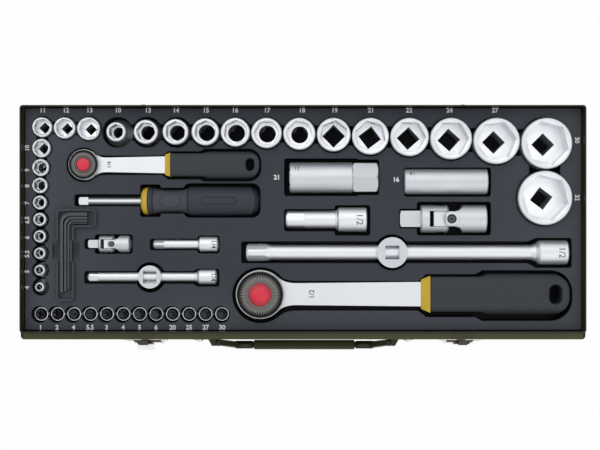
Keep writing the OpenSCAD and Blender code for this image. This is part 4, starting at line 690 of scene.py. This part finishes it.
for size, own in ratchets.items():
    dress(size + "_ratchet_frame", chrome_x)
    dress(size + "_ratchet_pawl", drive_look)
    dress(size + "_ratchet_drive", drive_look)

    # The button is painted bright red at its middle and deeper red towards its edge, as painted shade
    low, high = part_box(size + "_ratchet_button")
    button_look = Look(size + " red button plastic", Coat_Weight=0.15, Specular_IOR_Level=0.35)
    from_middle = button_look.from_upright((low[0] + high[0]) / 2, (low[1] + high[1]) / 2)
    edge_from, edge_wide, edge_shade_red = own["edge"]
    edge = ((from_middle / ((high[0] - low[0]) / 2)) - edge_from).step(edge_wide)
    button_cloud = button_look.noise(120.0, 3.0)
    red = button_look.mix(button_cloud, (0.70, 0.020, 0.055), (0.84, 0.036, 0.080))
    button_look.set("Base Color", button_look.mix(edge, red, edge_shade_red))
    button_look.set("Roughness", 0.3 + button_cloud * 0.12)
    button_look.relief(button_look.noise(1500.0, 2.0), 0.00002, 0.0006)
    dress(size + "_ratchet_button", button_look)
    dress(size + "_ratchet_collar", collar_look)
    moulded(size + "_ratchet_grip", own["voxel"], 9, grip_look)

    # The ring is black outside its ridges, grey and polished next to the button
    low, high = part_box(size + "_ratchet_ring")
    centre = ((low[0] + high[0]) / 2, (low[1] + high[1]) / 2, high[2])
    radius = (high[0] - low[0]) / 2
    band_in, band_out = own["band"]
    ring_look = satin(size + " ring steel", (0.020, 0.020, 0.020), (0.012, 0.012, 0.013), 0.4)
    out = ring_look.from_upright(centre[0], centre[1]) / radius
    polished = (out - band_in).step(0.03) * (band_out - out).step(0.05)
    ring_look.set("Base Color", ring_look.mix(polished, ring_look.colour(), (0.12, 0.117, 0.110)))
    dress(size + "_ratchet_ring", ring_look)

    # Its ridges are bright at their inner ends and black further out, and each ratchet's are darker still by
    # its own share all along
    ridge_from, ridge_to, ridge_wide, ridge_high = band_out * 0.96, 0.90, 0.021, 0.0005
    tick_look = satin(size + " ridge tops", (0.58, 0.57, 0.54), (0.48, 0.47, 0.45), 0.4)
    out = tick_look.from_upright(centre[0], centre[1]) / radius
    ridge_darkening = (out - ridge_from).step(ridge_to - ridge_from) * 0.8 + own["ridge_dark"]
    tick_look.set("Base Color", tick_look.mix(ridge_darkening, tick_look.colour(), (0.03, 0.03, 0.03)))
    ridge_mesh = grown(knurls, Radius=radius * (ridge_from + ridge_to) / 2, Ridges=own["ridges"],
                       Length=radius * (ridge_to - ridge_from), Width=radius * ridge_wide,
                       Height=ridge_high, Finish=tick_look.material)
    ridge_mesh.transform(Matrix.Translation(centre))
    add_piece(size + "_ratchet_knurls", ridge_mesh, size + "_ratchet_ring", tick_look.material,
              hides=False)

    # A black rim outside the ridges and a polished band inside them, as radius and height over the ring
    rim = turned("rim", [(radius * 0.90, -0.0002), (radius * 0.92, 0.00022), (radius * 1.02, 0.00022),
                         (radius * 1.03, 0.0), (radius * 1.03, -0.0002)], centre)
    add_piece(size + "_ratchet_rim", rim, size + "_ratchet_ring", ring_look.material, hides=False)
    polish = turned("polish", [(radius * band_in, 0.0), (radius * (band_in + 0.03), 0.0004),
                               (radius * (band_out - 0.05), 0.00035), (radius * band_out, 0.0)], centre)
    add_piece(size + "_ratchet_band", polish, size + "_ratchet_ring", ring_look.material, hides=False)

    # A turned bead round the head, outside the ring
    bead_in, bead_out = own["bead"]
    bead_foot, bead_crown, bead_round = -0.0022, 0.0002, 0.0002
    bead = turned("bead", [(bead_in, bead_foot), (bead_in, 0.0), (bead_in + bead_round, bead_crown),
                           (bead_out - bead_round, bead_crown), (bead_out, 0.0), (bead_out, bead_foot)],
                  (centre[0], centre[1], own["head_top"]))
    add_piece(size + "_ratchet_bead", bead, size + "_ratchet_frame", chrome_x.material, hides=False)

    etched = printed(own["mark"], own["mark_height"],
                     (centre[0] + own["mark_x"], centre[1], own["shank_top"] + 0.00002), math.pi / 2, 0.00007)
    add_piece(size + "_ratchet_mark", etched, size + "_ratchet_frame", steel_ink.material, hides=False)

# ---- Sizes etched on the steel ----
# The drive sizes stand on the extensions' ends and the hexagon sizes on the spark plug sockets. Each mark
# is etched dark and wrapped round the bar it stands on.


def etched_round(node, words, height, x, y, axis, radius, turn):
    """Words wrapped round a bar along X, whose axis lies at the given Y and Z."""
    mesh = printed(words, height, (x, y, 0.0), turn, 0.00003)
    work = bmesh.new()
    work.from_mesh(mesh)
    bmesh.ops.triangulate(work, faces=work.faces)
    bmesh.ops.subdivide_edges(work, edges=work.edges, cuts=2, use_grid_fill=True)
    for vertex in work.verts:
        angle = (vertex.co.y - axis[0]) / radius
        reach = radius + 0.00004 + vertex.co.z
        vertex.co.y = axis[0] + reach * math.sin(angle)
        vertex.co.z = axis[1] + reach * math.cos(angle)
    work.to_mesh(mesh)
    work.free()
    add_piece(node + "_mark", mesh, node, steel_ink.material, hides=False)


for node, words, height, x in (("half_extension_long", "1/2", 0.0050, 0.2024),
                               ("half_extension_short", "1/2", 0.0052, 0.0441),
                               ("quarter_extension_long", "1/4", 0.0040, -0.0706),
                               ("quarter_extension_short", "1/4", 0.0040, -0.0702)):
    low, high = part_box(node)
    axis = ((low[1] + high[1]) / 2, (low[2] + high[2]) / 2)
    etched_round(node, words, height, x, axis[0], axis, (high[1] - low[1]) / 2, -math.pi / 2)

plug_figure = 0.0034
for node, words, x, y, radius in (("plug_socket", "21", -0.0049, 0.0404, 0.0122),
                                  ("slim_plug_socket", "16", 0.0855, 0.0362, 0.0103)):
    low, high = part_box(node)
    axis = ((low[1] + high[1]) / 2, (low[2] + high[2]) / 2)
    etched_round(node, words, plug_figure, x, y, axis, radius, math.pi)

# ---- The driver ----
# A square-tipped blade in a moulded handle with a waist for the fingers and a yellow collar in front.
# The handle carries a thumb dish, a bare oval plate and a darker end cap.

dress("driver_collar", collar_look)
# The places along X of the dish, the plate, the two seams and the cap's edge, with their sizes
dish_x, dish_long, dish_wide = -0.1042, 0.0088, 0.0056
plate_middle, plate_half, plate_round = -0.0662, 0.0109, 0.0028
back_seam_x, front_seam_x = -0.0906, -0.1182
cap_x, cap_bow, top_rise = -0.0387, 28.0, 0.004

low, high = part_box("driver_handle")
driver_look = Look("dark driver plastic", Specular_IOR_Level=0.25)
driver_x, driver_y = driver_look.axis("X"), driver_look.axis("Y") - (low[1] + high[1]) / 2
topside = (driver_look.axis("Z") - (low[2] + high[2]) / 2 - top_rise).step(0.001)
dish_along, dish_across = (driver_x - dish_x) / dish_long, driver_y / dish_wide
from_dish = (dish_along * dish_along + dish_across * dish_across).root()
dish = (1.0 - from_dish * from_dish).clamp() * topside
dish_edge = (from_dish - 0.97).line(0.16) * topside * 0.7
plate_x = (abs(driver_x - plate_middle) - plate_half).most(0.0)
plate_line = ((plate_x * plate_x + driver_y * driver_y).root() - plate_round).line(0.0008) * topside
seam = (driver_x - back_seam_x).line(0.0013).most((driver_x - front_seam_x).line(0.0011))
cap_from = driver_x - cap_x + driver_y * driver_y * cap_bow
# Painted highlight: a pale line along the cap's edge, on the handle's upper side only
cap_edge_highlight = (cap_from + 0.0008).line(0.0016) * topside * 0.6
waist = (driver_x - front_seam_x).step(0.0010) * (back_seam_x - driver_x).step(0.0010) * 0.5

driver_cloud = driver_look.noise(22.0, 3.0)
driver_plain = driver_look.mix(driver_cloud, (0.032, 0.037, 0.048), (0.043, 0.049, 0.062))
driver_plain = driver_look.mix(waist, driver_plain, (0.080, 0.086, 0.102))
drawn = (seam * 0.85).most(plate_line * 0.55).most(cap_from.step(0.0007) * 0.55).most(dish_edge)
driver_dark = driver_look.mix(drawn, driver_plain, (0.006, 0.007, 0.008))
driver_look.set("Base Color", driver_look.mix(cap_edge_highlight, driver_dark, (0.080, 0.084, 0.090)))
driver_look.set("Roughness", 0.5 + driver_cloud * 0.12)
driver_grain = driver_look.noise(1600.0, 2.0)
driver_look.relief(driver_grain * 0.04 - dish - plate_line * 0.4 - seam * 0.5, 0.001)
moulded("driver_handle", 0.0006, 3, driver_look)
